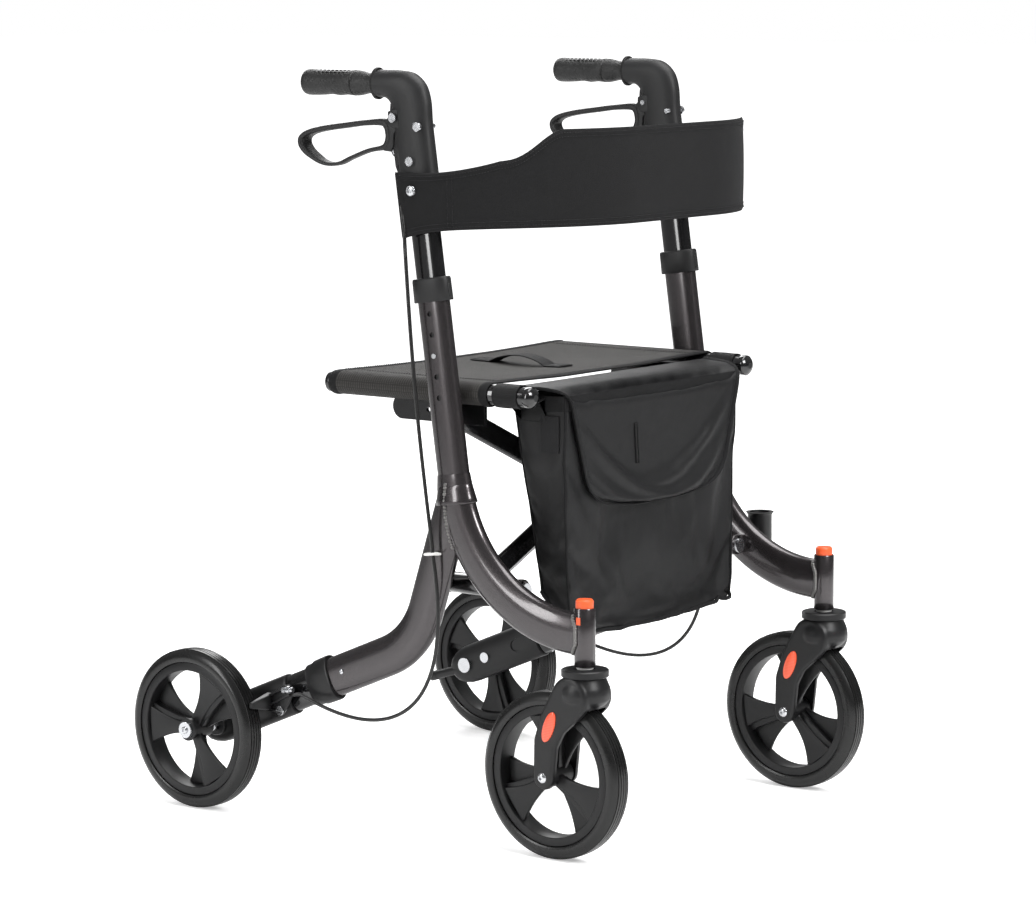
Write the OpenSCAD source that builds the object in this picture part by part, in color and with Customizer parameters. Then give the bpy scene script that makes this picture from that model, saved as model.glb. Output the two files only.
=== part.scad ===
// Folding four-wheel rollator walker.
// +Z up, front of the walker towards -Y, the user's right-hand side on -X.
// Origin on the floor, on the centre plane, midway between the two axles.

/* [Wheels] */
// Outside diameter of all four tyres
wheel_d = 200; // [190:1:205]
// Width of a tyre
tyre_w = 30; // [26:1:32]
// Distance between the front and rear axles, casters trailing
wheelbase = 530; // [520:1:540]
// Wheel centre plane of the rear wheels from the middle of the walker
rear_track = 295; // [294:1:300]
// How far a front axle trails its swivel axis
caster_trail = 44; // [42:1:48]

/* [Side frames] */
// Side frame plane from the middle of the walker
frame_x = 246; // [246:1:248]
// Half height of the oval leg tubes
leg_b = 25; // [23:0.5:26]
// Half thickness of the oval leg tubes
leg_r = 13; // [12:0.5:13.5]
// Lean of the posts from the vertical, degrees
post_lean = 7.77; // [7.5:0.01:8]
// Centre radius of the curved front leg
front_leg_r = 188.9; // [186:0.1:191]
// Slope of the straight rear leg, degrees
rear_slope = 22.5; // [22:0.1:23]

/* [Posts and handles] */
// Half depth of the lower post tube
post_b = 22; // [21.5:0.1:22.5]
// Half thickness of the lower post tube
post_r = 11; // [10.8:0.1:11.2]
// Wall of the post tubes
post_wall = 1.5; // [1.2:0.1:1.6]
// Height of the grips above the floor
grip_z = 903.5; // [900:0.5:906]
// Diameter of the hand grips
grip_d = 30; // [29:0.5:32]
// Spacing of the height holes
hole_pitch = 25; // [24:0.5:26]
// Number of height holes
hole_n = 5; // [3:1:5]

/* [Seat and brace] */
// Seat tubes from the middle of the walker
seat_x = 217; // [214:0.5:218]
// Height of the seat tube axis
seat_z = 538; // [535:1:541]
// Radius of the seat tubes
seat_r = 12; // [11:0.5:12.5]
// Height of the lower brace pivots
pivot_z = 308; // [306:1:310]
// Height of the upper ends of the brace bars
brace_top_z = 508; // [506:1:510]

/* [Bag and backrest] */
// Half width of the bag
bag_hw = 178; // [165:1:182]
// Underside of the bag
bag_bottom = 246; // [240:1:270]
// Forward reach of the backrest strap
strap_y = 264; // [255:1:270]

/* [Hidden] */
$fn = 48;

charcoal = [0.17, 0.165, 0.165];
gloss_black = [0.05, 0.05, 0.055];
plastic = [0.12, 0.12, 0.125];
rubber = [0.09, 0.09, 0.09];
cloth = [0.1, 0.1, 0.1];
seat_cloth = [0.2, 0.19, 0.18];
steel = [0.8, 0.8, 0.82];
orange = [0.95, 0.35, 0.12];

wr = wheel_d / 2;
rear_y = wheelbase / 2;
front_y = -wheelbase / 2;
stem_y = front_y - caster_trail;
p0_y = -117; p0_z = 418;              // foot of the post, in the joint of the two legs
arc_a0 = -12.7;                        // where the front leg leaves that joint
arc_y = p0_y - front_leg_r * cos(arc_a0);
arc_z = p0_z - front_leg_r * sin(arc_a0);
stem_z = arc_z - front_leg_r;          // centre height of the leg at the caster stem
cs = cos(rear_slope); sn = sin(rear_slope);
steep = 71.3;                          // slope of the upper rear leg
rear_bend_r = 108;
function leg(s, n = 0) = [0, rear_y - s * cs + n * sn, wr + s * sn + n * cs];   // along the rear leg from the axle
function post(u) = [0, p0_y + u * sin(post_lean), p0_z + u * cos(post_lean)];
k_x = rear_y - p0_y; k_z = p0_z - wr;
// distance down the steep part from the post foot to its corner with the straight part
knee = (k_z - tan(rear_slope) * k_x) / (sin(steep) - tan(rear_slope) * cos(steep));
knee_p = [0, p0_y + knee * cos(steep), p0_z - knee * sin(steep)];
knee_t = rear_bend_r * tan((steep - rear_slope) / 2);
k1 = knee_p + [0, -knee_t * cos(steep), knee_t * sin(steep)];
k2 = knee_p + [0, knee_t * cs, -knee_t * sn];
knee_c = k2 + [0, rear_bend_r * sn, rear_bend_r * cs];
button_u = 167.5;                      // height button, along the post
collar_u = 232; tube_top_u = 250;
elbow_u0 = 332; upper_top_u = 408; upper_u0 = 88;
fork_out = 27.3; fork_in = 19;
arm_pivot = leg(119, -16);
brace_a = atan2(brace_top_z - pivot_z, 2 * seat_x);
bar_a_y = -130; bar_b_y = -100;
lever_y = -37; lever_z = 864;

// ---- 2D shapes ----
module stad(b, r) { square([2 * r, 2 * (b - r)], center = true); for (s = [-1, 1]) translate([0, s * (b - r)]) circle(r); }
module stadh(b, r) rotate(90) stad(b, r);
// two circles joined by their outer tangents
module slug(p, r1, q, r2) {
  d = norm(q - p); a = atan2(q[1] - p[1], q[0] - p[0]); b = acos((r1 - r2) / d);
  translate(p) circle(r1); translate(q) circle(r2);
  polygon([p + r1 * [cos(a + b), sin(a + b)], q + r2 * [cos(a + b), sin(a + b)],
           q + r2 * [cos(a - b), sin(a - b)], p + r1 * [cos(a - b), sin(a - b)]]);
}
// ---- placing things in a side plane: 2D x -> Y, 2D y -> Z, height -> X ----
module side(y = 0, z = 0, a = 0) translate([0, y, z]) rotate([90, 0, 90]) rotate([0, 0, a]) children();
module slab(x0, x1) translate([x0, 0, 0]) side() linear_extrude(x1 - x0) children();
module run(p, q, b, r) {
  side(p[1], p[2], atan2(q[2] - p[2], q[1] - p[1])) rotate([0, 90, 0]) linear_extrude(norm(q - p)) stad(b, r);
}
module bend(cy, cz, R, a0, a1, b, r) side(cy, cz, a0) rotate_extrude(angle = a1 - a0, $fn = 96) translate([R, 0]) stadh(b, r);
module on_post(u = 0) translate([0, p0_y, p0_z]) rotate([-post_lean, 0, 0]) translate([0, 0, u]) children();
module on_leg(s = 0) translate(leg(s)) rotate([-rear_slope, 0, 0]) rotate([90, 0, 0]) children();   // local z runs up the leg
module xcyl(x0, x1, r, y, z) translate([x0, y, z]) rotate([0, 90, 0]) cylinder(h = x1 - x0, r = r);
module ycyl(y0, y1, r, x, z) translate([x, y0, z]) rotate([-90, 0, 0]) cylinder(h = y1 - y0, r = r);
// right-hand parts are drawn with the outside of the walker towards -X, then placed
module right() translate([-frame_x, 0, 0]) children();
module left() translate([frame_x, 0, 0]) mirror([1, 0, 0]) children();

// ---- side frame ----
module frame_shape() {
  difference() {
    union() {
      on_post(0) linear_extrude(tube_top_u) stad(post_b, post_r);
      on_post(-9) linear_extrude(20) stad(27, 15.5);
      bend(arc_y, arc_z, front_leg_r, -89, arc_a0, leg_b, leg_r);
      run(post(6), k1 + [0, 2 * cos(steep), -2 * sin(steep)], leg_b - 0.9, leg_r - 0.8);
      bend(knee_c[1], knee_c[2], rear_bend_r, -(90 + steep), -(90 + rear_slope), leg_b - 0.4, leg_r - 0.4);
      run(k2 + [0, -2 * cs, 2 * sn], leg(190), leg_b - 0.9, leg_r - 0.8);
      run(leg(200), leg(46), leg_b - 2, leg_r - 2);
      translate([0, stem_y, stem_z - 37]) cylinder(h = 69, r = 12.5);
      // lugs that hold the lower brace pivot pin
      for (y = [-190, -80]) translate([leg_r - 5, y - 6, pivot_z - 11]) cube([frame_x - seat_x - leg_r + 5, 12, 22]);
      for (y = [-190, -80]) ycyl(y - 6, y + 6, 13, frame_x - seat_x, pivot_z);
    }
    on_post(12) linear_extrude(tube_top_u) stad(post_b - post_wall, post_r - post_wall);
    for (k = [0 : hole_n - 1]) on_post(button_u + (k - (hole_n - 1) / 2) * hole_pitch) rotate([0, -90, 0]) cylinder(h = 20, r = 3.3);
    translate([0, stem_y, stem_z - 38]) cylinder(h = 71, r = 10.8);
    ycyl(-197, -73, 6.05, frame_x - seat_x, pivot_z);
  }
}
module height_collar() difference() {
  on_post(collar_u) linear_extrude(28) stad(27, 14);
  on_post(collar_u - 1) linear_extrude(tube_top_u - collar_u + 1.2) stad(post_b + 0.05, post_r + 0.05);
  on_post(collar_u) linear_extrude(30) stad(post_b - 1.5, post_r - 1.5);
}
module upper_tube() difference() {
  on_post(upper_u0) linear_extrude(upper_top_u - upper_u0) stad(post_b - post_wall - 0.3, post_r - post_wall - 0.3);
  on_post(upper_u0 - 1) linear_extrude(upper_top_u) stad(post_b - 2 * post_wall - 0.3, post_r - 2 * post_wall - 0.3);
  on_post(button_u) rotate([0, -90, 0]) cylinder(h = 20, r = 3.3);
  for (p = [[-70, 779], [-63, 813]]) xcyl(-20, 20, 3.05, p[0], p[1]);
}
module height_button() on_post(button_u) rotate([0, -90, 0]) {
  translate([0, 0, 3]) cylinder(h = 9.6, r = 3);
  translate([0, 0, 3]) cylinder(h = 2.5, r = 5);
}
module elbow() difference() {
  union() {
    intersection() {
      on_post(elbow_u0) linear_extrude(160) stad(26, 13.5);
      translate([-20, -130, 600]) cube([40, 120, 284]);
    }
    slab(-9, 9) { translate([-46, 883.5]) circle(36, $fn = 96); translate([-46, grip_z - 12]) square([40, 26]); }
    ycyl(-50, -6, 16.5, 0, grip_z);
    ycyl(-8, 104, 10, 0, grip_z);
  }
  on_post(elbow_u0 - 1) linear_extrude(upper_top_u - elbow_u0 + 1.5) stad(post_b - post_wall - 0.25, post_r - post_wall - 0.25);
  translate([-7.6, -50, 838]) cube([15.2, 40, 44]);
  for (p = [[lever_y, lever_z], [-75, 854], [-63, 813], [-70, 779]]) xcyl(-20, 20, 3.05, p[0], p[1]);
}
module grip() difference() {
  union() {
    translate([0, 3, grip_z]) rotate([90, 0, 0]) linear_extrude(6) stad(18.5, 13.5);
    ycyl(2, 14, 12.5, 0, grip_z);
    ycyl(13, 108, grip_d / 2, 0, grip_z);
  }
  ycyl(-5, 104.1, 10.05, 0, grip_z);
}
module brake_lever() difference() {
  union() {
    xcyl(-6.8, 6.8, 9, lever_y, lever_z);
    slab(-7, 7) difference() {
      polygon([for (p = [[1, 8], [25, -1], [75, -6], [144, -16], [155, -22], [157, -30], [148, -42], [118, -58], [106, -62], [90, -59], [17, -39], [11, -33], [9.4, -20], [-3, -7.4]]) p + [lever_y, lever_z]]);
      polygon([for (p = [[44, -11], [120, -22], [131, -28], [131, -42], [112, -54], [97, -56], [30, -36], [24, -28], [30, -14]]) p + [lever_y, lever_z]]);
    }
  }
  xcyl(-10, 10, 3.05, lever_y, lever_z);
}
module handle_bolts() {
  for (p = [[lever_y, lever_z], [-75, 854], [-63, 813]]) {
    xcyl(-13.5, 15.5, 3, p[0], p[1]);
    xcyl(-17, -13.5, 5.5, p[0], p[1]);
  }
  xcyl(-20.1, 13.4, 3, -70, 779);
  xcyl(-23.5, -20.05, 6, -70, 779);
}

// ---- rear running gear ----
module axle_housing() difference() {
  union() {
    xcyl(-13.5, 13.5, 25.2, rear_y, wr);
    on_leg(0) linear_extrude(129) stad(25.5, 14);
    xcyl(-18, -12.5, 15, rear_y, wr);
    // short peg behind the axle
    translate([8, 275, 93]) rotate([-106.6, 0, 0]) cylinder(h = 58, r = 6);
    // boss for the brake arm pivot
    xcyl(-18, -13, 7, arm_pivot[1], arm_pivot[2]);
  }
  on_leg(45) linear_extrude(90) stad(leg_b - 1.95, leg_r - 1.95);
  xcyl(-30, 30, 6.05, rear_y, wr);
  xcyl(-30, 30, 4.05, leg(37)[1], leg(37)[2]);
  xcyl(-19, -11.5, 3.05, arm_pivot[1], arm_pivot[2]);
}
module rear_sleeve() difference() {
  on_leg(166) linear_extrude(37) stad(28.5, 16);
  on_leg(165) linear_extrude(25.1) stad(leg_b - 1.95, leg_r - 1.95);
  on_leg(189.8) linear_extrude(20) stad(leg_b + 0.05, leg_r + 0.05);
}
module brake_arm() difference() {
  union() {
    slab(-23, -18.2) slug([arm_pivot[1], arm_pivot[2]], 8, [leg(110, 1)[1], leg(110, 1)[2]], 7);
    slab(-23, -18.2) slug([arm_pivot[1], arm_pivot[2]], 8, [leg(143, 4)[1], leg(143, 4)[2]], 7);
    translate(leg(102.3, -7)) rotate([-rear_slope, 0, 0]) translate([-64, -8, 0]) cube([45, 8, 15]);
  }
  xcyl(-30, -12, 3.05, arm_pivot[1], arm_pivot[2]);
}
module rear_axle() {
  off = rear_track - frame_x;
  xcyl(-off - 19, 14.2, 6, rear_y, wr);
  xcyl(14.2, 18, 10, rear_y, wr);
  xcyl(-off + 17.2, -18.1, 9, rear_y, wr);
  xcyl(-off - 23, -off - 17.2, 10, rear_y, wr);
  xcyl(-14.1, 14.2, 4, leg(37)[1], leg(37)[2]);
  xcyl(14.1, 16.5, 7, leg(37)[1], leg(37)[2]);
  xcyl(-23.2, -11.6, 3, arm_pivot[1], arm_pivot[2]);
  xcyl(-25, -23.1, 6, arm_pivot[1], arm_pivot[2]);
}

// ---- wheels, drawn about the X axis through the origin, outside towards -X ----
function blade_w(r) = 7.5 + 17 * pow((r - 12) / 64, 2);
module blade(r0, r1) polygon(concat(
  [for (i = [0 : 12]) let (r = r0 + (r1 - r0) * i / 12) [sqrt(max(0, r * r - pow(blade_w(r), 2))), blade_w(r)]],
  [for (i = [12 : -1 : 0]) let (r = r0 + (r1 - r0) * i / 12) [sqrt(max(0, r * r - pow(blade_w(r), 2))), -blade_w(r)]]));
module rim(hub_half, bore) difference() {
  union() {
    rotate([0, 90, 0]) rotate_extrude($fn = 96) {
      translate([bore, -hub_half]) square([13 - bore, 2 * hub_half]);
      translate([72, -13]) square([12, 26]);
    }
    for (k = [0 : 2]) {
      slab(-10, -3) rotate(90 + 120 * k) blade(10, 75);
      slab(3, 10) rotate(120 + 120 * k) blade(10, 75);
      slab(-6, 6) rotate(105 + 120 * k) translate([10, -7]) square([64, 14]);
    }
  }
  xcyl(-40, 40, bore, 0, 0);
}
module tyre() rotate([0, 90, 0]) rotate_extrude($fn = 96) difference() {
  union() {
    translate([84, -tyre_w / 2 + 1.5]) square([wr - 84 - 7, tyre_w - 3]);
    translate([86, -tyre_w / 2]) square([wr - 86 - 9, tyre_w]);
    translate([84, -tyre_w / 2 + 8]) square([wr - 84, tyre_w - 16]);
    for (s = [-1, 1]) translate([wr - 9, s * (tyre_w / 2 - 9)]) circle(9);
  }
  for (y = [-4.5, 0, 4.5]) translate([wr - 1.2, y - 0.5]) square([3, 1]);
  translate([70, -20]) square([14.02, 40]);
}
module at_rear() translate([-(rear_track - frame_x), rear_y, wr]) children();
module at_front() translate([0, front_y, wr]) children();

// ---- caster ----
module caster_fork() {
  difference() {
    union() {
      translate([0, stem_y, 212]) cylinder(h = 20, r = 27.5);
      intersection() {
        translate([0, stem_y, 190]) cylinder(h = 26, r = 31);
        translate([-fork_out, stem_y - 40, 190]) cube([2 * fork_out, 80, 40]);
      }
      for (x = [-fork_out, fork_in]) slab(x, x + fork_out - fork_in) {
        slug([stem_y + 3, 202], 27, [front_y - 11, 156], 16.6);
        slug([front_y - 11, 156], 16.6, [front_y, wr], 15);
      }
    }
    xcyl(-fork_in, fork_in, wr + 4, front_y, wr);
    xcyl(-40, 40, 4.05, front_y, wr);
  }
  translate([0, stem_y, 231]) cylinder(h = 58, r = 6);
}
module caster_bushes() for (z = [stem_z - 36.5, stem_z - 10]) translate([0, stem_y, z]) difference() {
  cylinder(h = 16, r = 10.7);
  translate([0, 0, -1]) cylinder(h = 18, r = 6.05);
}
module release_button() translate([0, stem_y, stem_z + 22]) { cylinder(h = 18, r = 10.5); translate([0, 0, 18]) cylinder(h = 2, r1 = 10.5, r2 = 9); }
module reflectors() for (s = [-1, 1]) translate([s > 0 ? fork_out : -fork_out - 1.5, front_y - 11, 162]) side(0, 0, 21) linear_extrude(1.5) stad(17, 8);
module front_axle() {
  xcyl(-fork_out - 0.1, fork_out + 0.1, 4, front_y, wr);
  for (x = [-fork_out - 3, fork_out]) xcyl(x, x + 3, 7, front_y, wr);
}

// ---- folding seat brace: right side drawn, left by mirror ----
module pivot_pin() { ycyl(-198, -72, 6, frame_x - seat_x, pivot_z); ycyl(-201, -196.1, 9, frame_x - seat_x, pivot_z); }
// a bar that starts at the right pivot and rises to the left seat tube
module brace_bar(y) difference() {
  union() {
    intersection() {
      translate([-seat_x, y, pivot_z]) rotate([0, -brace_a, 0]) rotate([0, 90, 0]) linear_extrude(520) stadh(14, 7) ;
      translate([-seat_x - 20, y - 20, 200]) cube([2 * seat_x + 20 - 2.5, 40, 400]);
    }
    ycyl(-182, -88, 12.5, -seat_x, pivot_z);
  }
  ycyl(-190, -70, 6.06, -seat_x, pivot_z);
  ycyl(y - 20, y + 20, 4.06, 0, (pivot_z + brace_top_z) / 2);
}
module brace_bolt() {
  z = (pivot_z + brace_top_z) / 2;
  ycyl(-141, -89, 4, 0, z); ycyl(-145, -137.1, 8, 0, z); ycyl(-92.9, -87, 8, 0, z); ycyl(-122.9, -107.1, 9, 0, z);
}
module seat_tube() difference() {
  union() {
    ycyl(-204, 96, seat_r, 0, seat_z);
    // bracket under the tube that takes the end of the brace bar
    translate([-2.4, 0, 0]) side() linear_extrude(4.8) { translate([-140, 500]) square([130, 30]); translate([-12, 515]) circle(15); }
  }
  ycyl(-206, 98, seat_r - 1.6, 0, seat_z);
  xcyl(-4, 4, 3.05, -53, 514);
}
module seat_caps() {
  for (s = [-1, 1]) translate([0, s > 0 ? 96 : -204, seat_z]) rotate([s > 0 ? -90 : 90, 0, 0]) {
    translate([0, 0, -12]) cylinder(h = 12, r = seat_r - 1.65);
    intersection() { cylinder(h = 12, r = seat_r + 0.8); translate([0, 0, -4]) sphere(16.5); }
  }
}

// ---- soft parts, kept plain ----
module seat_cloth_solid() translate([-seat_x + seat_r + 1, -150, seat_z + 5]) cube([2 * (seat_x - seat_r - 1), 245, 6]);
module pull_strap() difference() {
  translate([-14, -85, seat_z + 11.3]) cube([28, 130, 14]);
  translate([-20, -60, seat_z + 10]) cube([40, 80, 11]);
}
module strap_plan(g, c = 190) {
  w = frame_x + 20 - g; d = strap_y - g; q = c - g;
  square([2 * (w - q), 2 * d], center = true); square([2 * w, 2 * (d - q)], center = true);
  for (sx = [-1, 1], sy = [-1, 1]) translate([sx * (w - q), sy * (d - q)]) circle(q, $fn = 96);
}
module backrest() difference() {
  intersection() {
    translate([0, 0, 700]) linear_extrude(170) difference() { strap_plan(0); strap_plan(4.5); }
    translate([0, 20, 0]) rotate([90, 0, 0]) linear_extrude(300)
      polygon(concat([[-280, 722], [-235, 722], [-205, 738], [205, 738], [235, 722], [280, 722], [280, 798]], [for (i = [0 : 10]) let (x = 232 - 5.4 * i) [x, 816 + 18 * (1 - cos(18 * i))]],
        [for (i = [10 : -1 : 0]) let (x = -232 + 5.4 * i) [x, 816 + 18 * (1 - cos(18 * i))]], [[-280, 798]]));
  }
  on_post(200) translate([-400, 20, 0]) cube([800, 400, 400]);
  for (s = [-1, 1]) xcyl(s * frame_x - 30, s * frame_x + 30, 4, -70, 779);
}
module bag_side() polygon([[-146, 532], [-227, 536], [-228, bag_bottom + 12], [-218, bag_bottom], [-190, bag_bottom + 2], [-178, bag_bottom + 14]]);
module bag_solid() slab(-bag_hw, bag_hw) bag_side();
module flap_solid() slab(-bag_hw + 4, bag_hw - 4) { translate([-232, 537.2]) square([74, 2.8]); translate([-232, 404]) square([3.4, 136]); }
module cup() difference() {
  union() {
    translate([39, -183, 302]) cylinder(h = 38, r = 15.5);
    translate([39, -183, 338]) cylinder(h = 4, r1 = 15.5, r2 = 18);
    translate([leg_r + 0.1, -191, 304]) cube([16, 16, 18]);
  }
  translate([39, -183, 305]) cylinder(h = 50, r = 13);
}
// brake cable: an even run down the post, then one hanging loop back to the brake arm
function mix(a, b, t) = a * (1 - t) + b * t;
function cable_p(t) = t < 0.5
  ? let (q = t * 2) [-21 - 2 * sin(180 * q), mix(-59, -98, q) + 3 * sin(180 * q), mix(716, 349, q)]
  : let (q = t * 2 - 1, w = 1 - q) [-22 - 2 * sin(180 * q),
      w * w * w * -98 + 3 * w * w * q * -138 + 3 * w * q * q * -30 + q * q * q * 116,
      w * w * w * 349 + 3 * w * w * q * 152 + 3 * w * q * q * 104 + q * q * q * 155];
module cable() for (i = [0 : 23]) hull() for (k = [0, 1]) translate(cable_p((i + k) / 24)) sphere(2.4, $fn = 12);

// ---- nodes ----
module right_frame() color(charcoal) right() frame_shape();
module left_frame() color(charcoal) left() frame_shape();
module right_height_collar() color(plastic) right() height_collar();
module left_height_collar() color(plastic) left() height_collar();
module right_upper_tube() color(gloss_black) right() upper_tube();
module left_upper_tube() color(gloss_black) left() upper_tube();
module right_elbow() color(plastic) right() elbow();
module left_elbow() color(plastic) left() elbow();
module right_grip() color(rubber) right() grip();
module left_grip() color(rubber) left() grip();
module right_brake_lever() color(plastic) right() brake_lever();
module left_brake_lever() color(plastic) left() brake_lever();
module right_height_button() color(steel) right() height_button();
module left_height_button() color(steel) left() height_button();
module right_handle_bolts() color(steel) right() handle_bolts();
module left_handle_bolts() color(steel) left() handle_bolts();
module right_axle_housing() color(plastic) right() axle_housing();
module left_axle_housing() color(plastic) left() axle_housing();
module right_rear_sleeve() color(plastic) right() rear_sleeve();
module left_rear_sleeve() color(plastic) left() rear_sleeve();
module right_brake_arm() color(plastic) right() brake_arm();
module left_brake_arm() color(plastic) left() brake_arm();
module right_rear_axle() color(steel) right() rear_axle();
module left_rear_axle() color(steel) left() rear_axle();
module right_rear_rim() color(plastic) right() at_rear() rotate([28, 0, 0]) rim(17, 6.05);
module left_rear_rim() color(plastic) left() at_rear() rotate([28, 0, 0]) rim(17, 6.05);
module right_rear_tyre() color(rubber) right() at_rear() tyre();
module left_rear_tyre() color(rubber) left() at_rear() tyre();
module right_caster_fork() color(plastic) right() caster_fork();
module left_caster_fork() color(plastic) left() caster_fork();
module right_caster_bushes() color(plastic) right() caster_bushes();
module left_caster_bushes() color(plastic) left() caster_bushes();
module right_release_button() color(orange) right() release_button();
module left_release_button() color(orange) left() release_button();
module right_reflectors() color(orange) right() reflectors();
module left_reflectors() color(orange) left() reflectors();
module right_front_axle() color(steel) right() front_axle();
module left_front_axle() color(steel) left() front_axle();
module right_front_rim() color(plastic) right() at_front() rotate([-7, 0, 0]) rim(18.5, 4.05);
module left_front_rim() color(plastic) left() at_front() rotate([-7, 0, 0]) rim(18.5, 4.05);
module right_front_tyre() color(rubber) right() at_front() tyre();
module left_front_tyre() color(rubber) left() at_front() tyre();
module right_pivot_pin() color(steel) right() pivot_pin();
module left_pivot_pin() color(steel) left() pivot_pin();
module brace_bar_a() color(gloss_black) brace_bar(bar_a_y);
module brace_bar_b() color(gloss_black) mirror([1, 0, 0]) brace_bar(bar_b_y);
module brace_bolt_node() color(steel) brace_bolt();
module right_seat_tube() color(gloss_black) translate([-seat_x, 0, 0]) seat_tube();
module left_seat_tube() color(gloss_black) translate([seat_x, 0, 0]) mirror([1, 0, 0]) seat_tube();
module right_seat_caps() color(plastic) translate([-seat_x, 0, 0]) seat_caps();
module left_seat_caps() color(plastic) translate([seat_x, 0, 0]) seat_caps();
module seat_fabric() color(seat_cloth) seat_cloth_solid();
module seat_pull_strap() color(cloth) pull_strap();
module backrest_strap() color(cloth) backrest();
module bag() color(cloth) bag_solid();
module bag_flap() color(cloth) flap_solid();
module cane_cup() color(plastic) translate([frame_x, 0, 0]) cup();
module right_brake_cable() color(rubber) right() cable();
module left_brake_cable() color(rubber) left() cable();

right_frame();
left_frame();
right_height_collar();
left_height_collar();
right_upper_tube();
left_upper_tube();
right_elbow();
left_elbow();
right_grip();
left_grip();
right_brake_lever();
left_brake_lever();
right_height_button();
left_height_button();
right_handle_bolts();
left_handle_bolts();
right_axle_housing();
left_axle_housing();
right_rear_sleeve();
left_rear_sleeve();
right_brake_arm();
left_brake_arm();
right_rear_axle();
left_rear_axle();
right_rear_rim();
left_rear_rim();
right_rear_tyre();
left_rear_tyre();
right_caster_fork();
left_caster_fork();
right_caster_bushes();
left_caster_bushes();
right_release_button();
left_release_button();
right_reflectors();
left_reflectors();
right_front_axle();
left_front_axle();
right_front_rim();
left_front_rim();
right_front_tyre();
left_front_tyre();
right_pivot_pin();
left_pivot_pin();
brace_bar_a();
brace_bar_b();
brace_bolt_node();  // brace_bolt
right_seat_tube();
left_seat_tube();
right_seat_caps();
left_seat_caps();
seat_fabric();
seat_pull_strap();
backrest_strap();
bag();
bag_flap();
cane_cup();
right_brake_cable();
left_brake_cable();
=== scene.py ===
import math

import bmesh
import bpy
import numpy as np
from mathutils import Matrix, Vector, noise


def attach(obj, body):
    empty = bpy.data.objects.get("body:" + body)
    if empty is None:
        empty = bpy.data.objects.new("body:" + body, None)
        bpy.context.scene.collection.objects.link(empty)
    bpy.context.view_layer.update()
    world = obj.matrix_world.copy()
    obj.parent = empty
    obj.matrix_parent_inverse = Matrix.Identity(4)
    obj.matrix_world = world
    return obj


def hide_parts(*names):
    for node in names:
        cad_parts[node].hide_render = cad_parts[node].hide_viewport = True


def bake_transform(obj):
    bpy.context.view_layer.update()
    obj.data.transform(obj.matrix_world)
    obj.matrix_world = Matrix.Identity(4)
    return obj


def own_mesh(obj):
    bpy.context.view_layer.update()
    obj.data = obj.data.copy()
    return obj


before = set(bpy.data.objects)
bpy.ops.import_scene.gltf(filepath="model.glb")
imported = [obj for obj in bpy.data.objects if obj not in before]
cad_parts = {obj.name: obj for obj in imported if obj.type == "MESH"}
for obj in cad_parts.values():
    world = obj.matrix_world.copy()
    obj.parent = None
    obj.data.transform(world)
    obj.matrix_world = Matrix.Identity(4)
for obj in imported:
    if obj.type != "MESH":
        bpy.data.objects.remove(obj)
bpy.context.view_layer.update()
SCN = bpy.context.scene
R, L = "right", "left"
SIDES = (R, L)
FX = 246.0
LEAN = math.radians(7.77)
SLOPE = math.radians(22.5)
STEEP = math.radians(71.3)
CS, SN = math.cos(SLOPE), math.sin(SLOPE)
REAR_Y, FRONT_Y, STEM_Y, WR = 265.0, -265.0, -309.0, 100.0
P0 = np.array([-117.0, 418.0])
SEAT_X, SEAT_Z, SEAT_R = 217.0, 538.0, 12.0


# ------------------------------------------------------------------ materials
def nt(name):
    m = bpy.data.materials.new(name)
    m.use_nodes = True
    t = m.node_tree
    return m, t, t.nodes["Principled BSDF"]


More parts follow.
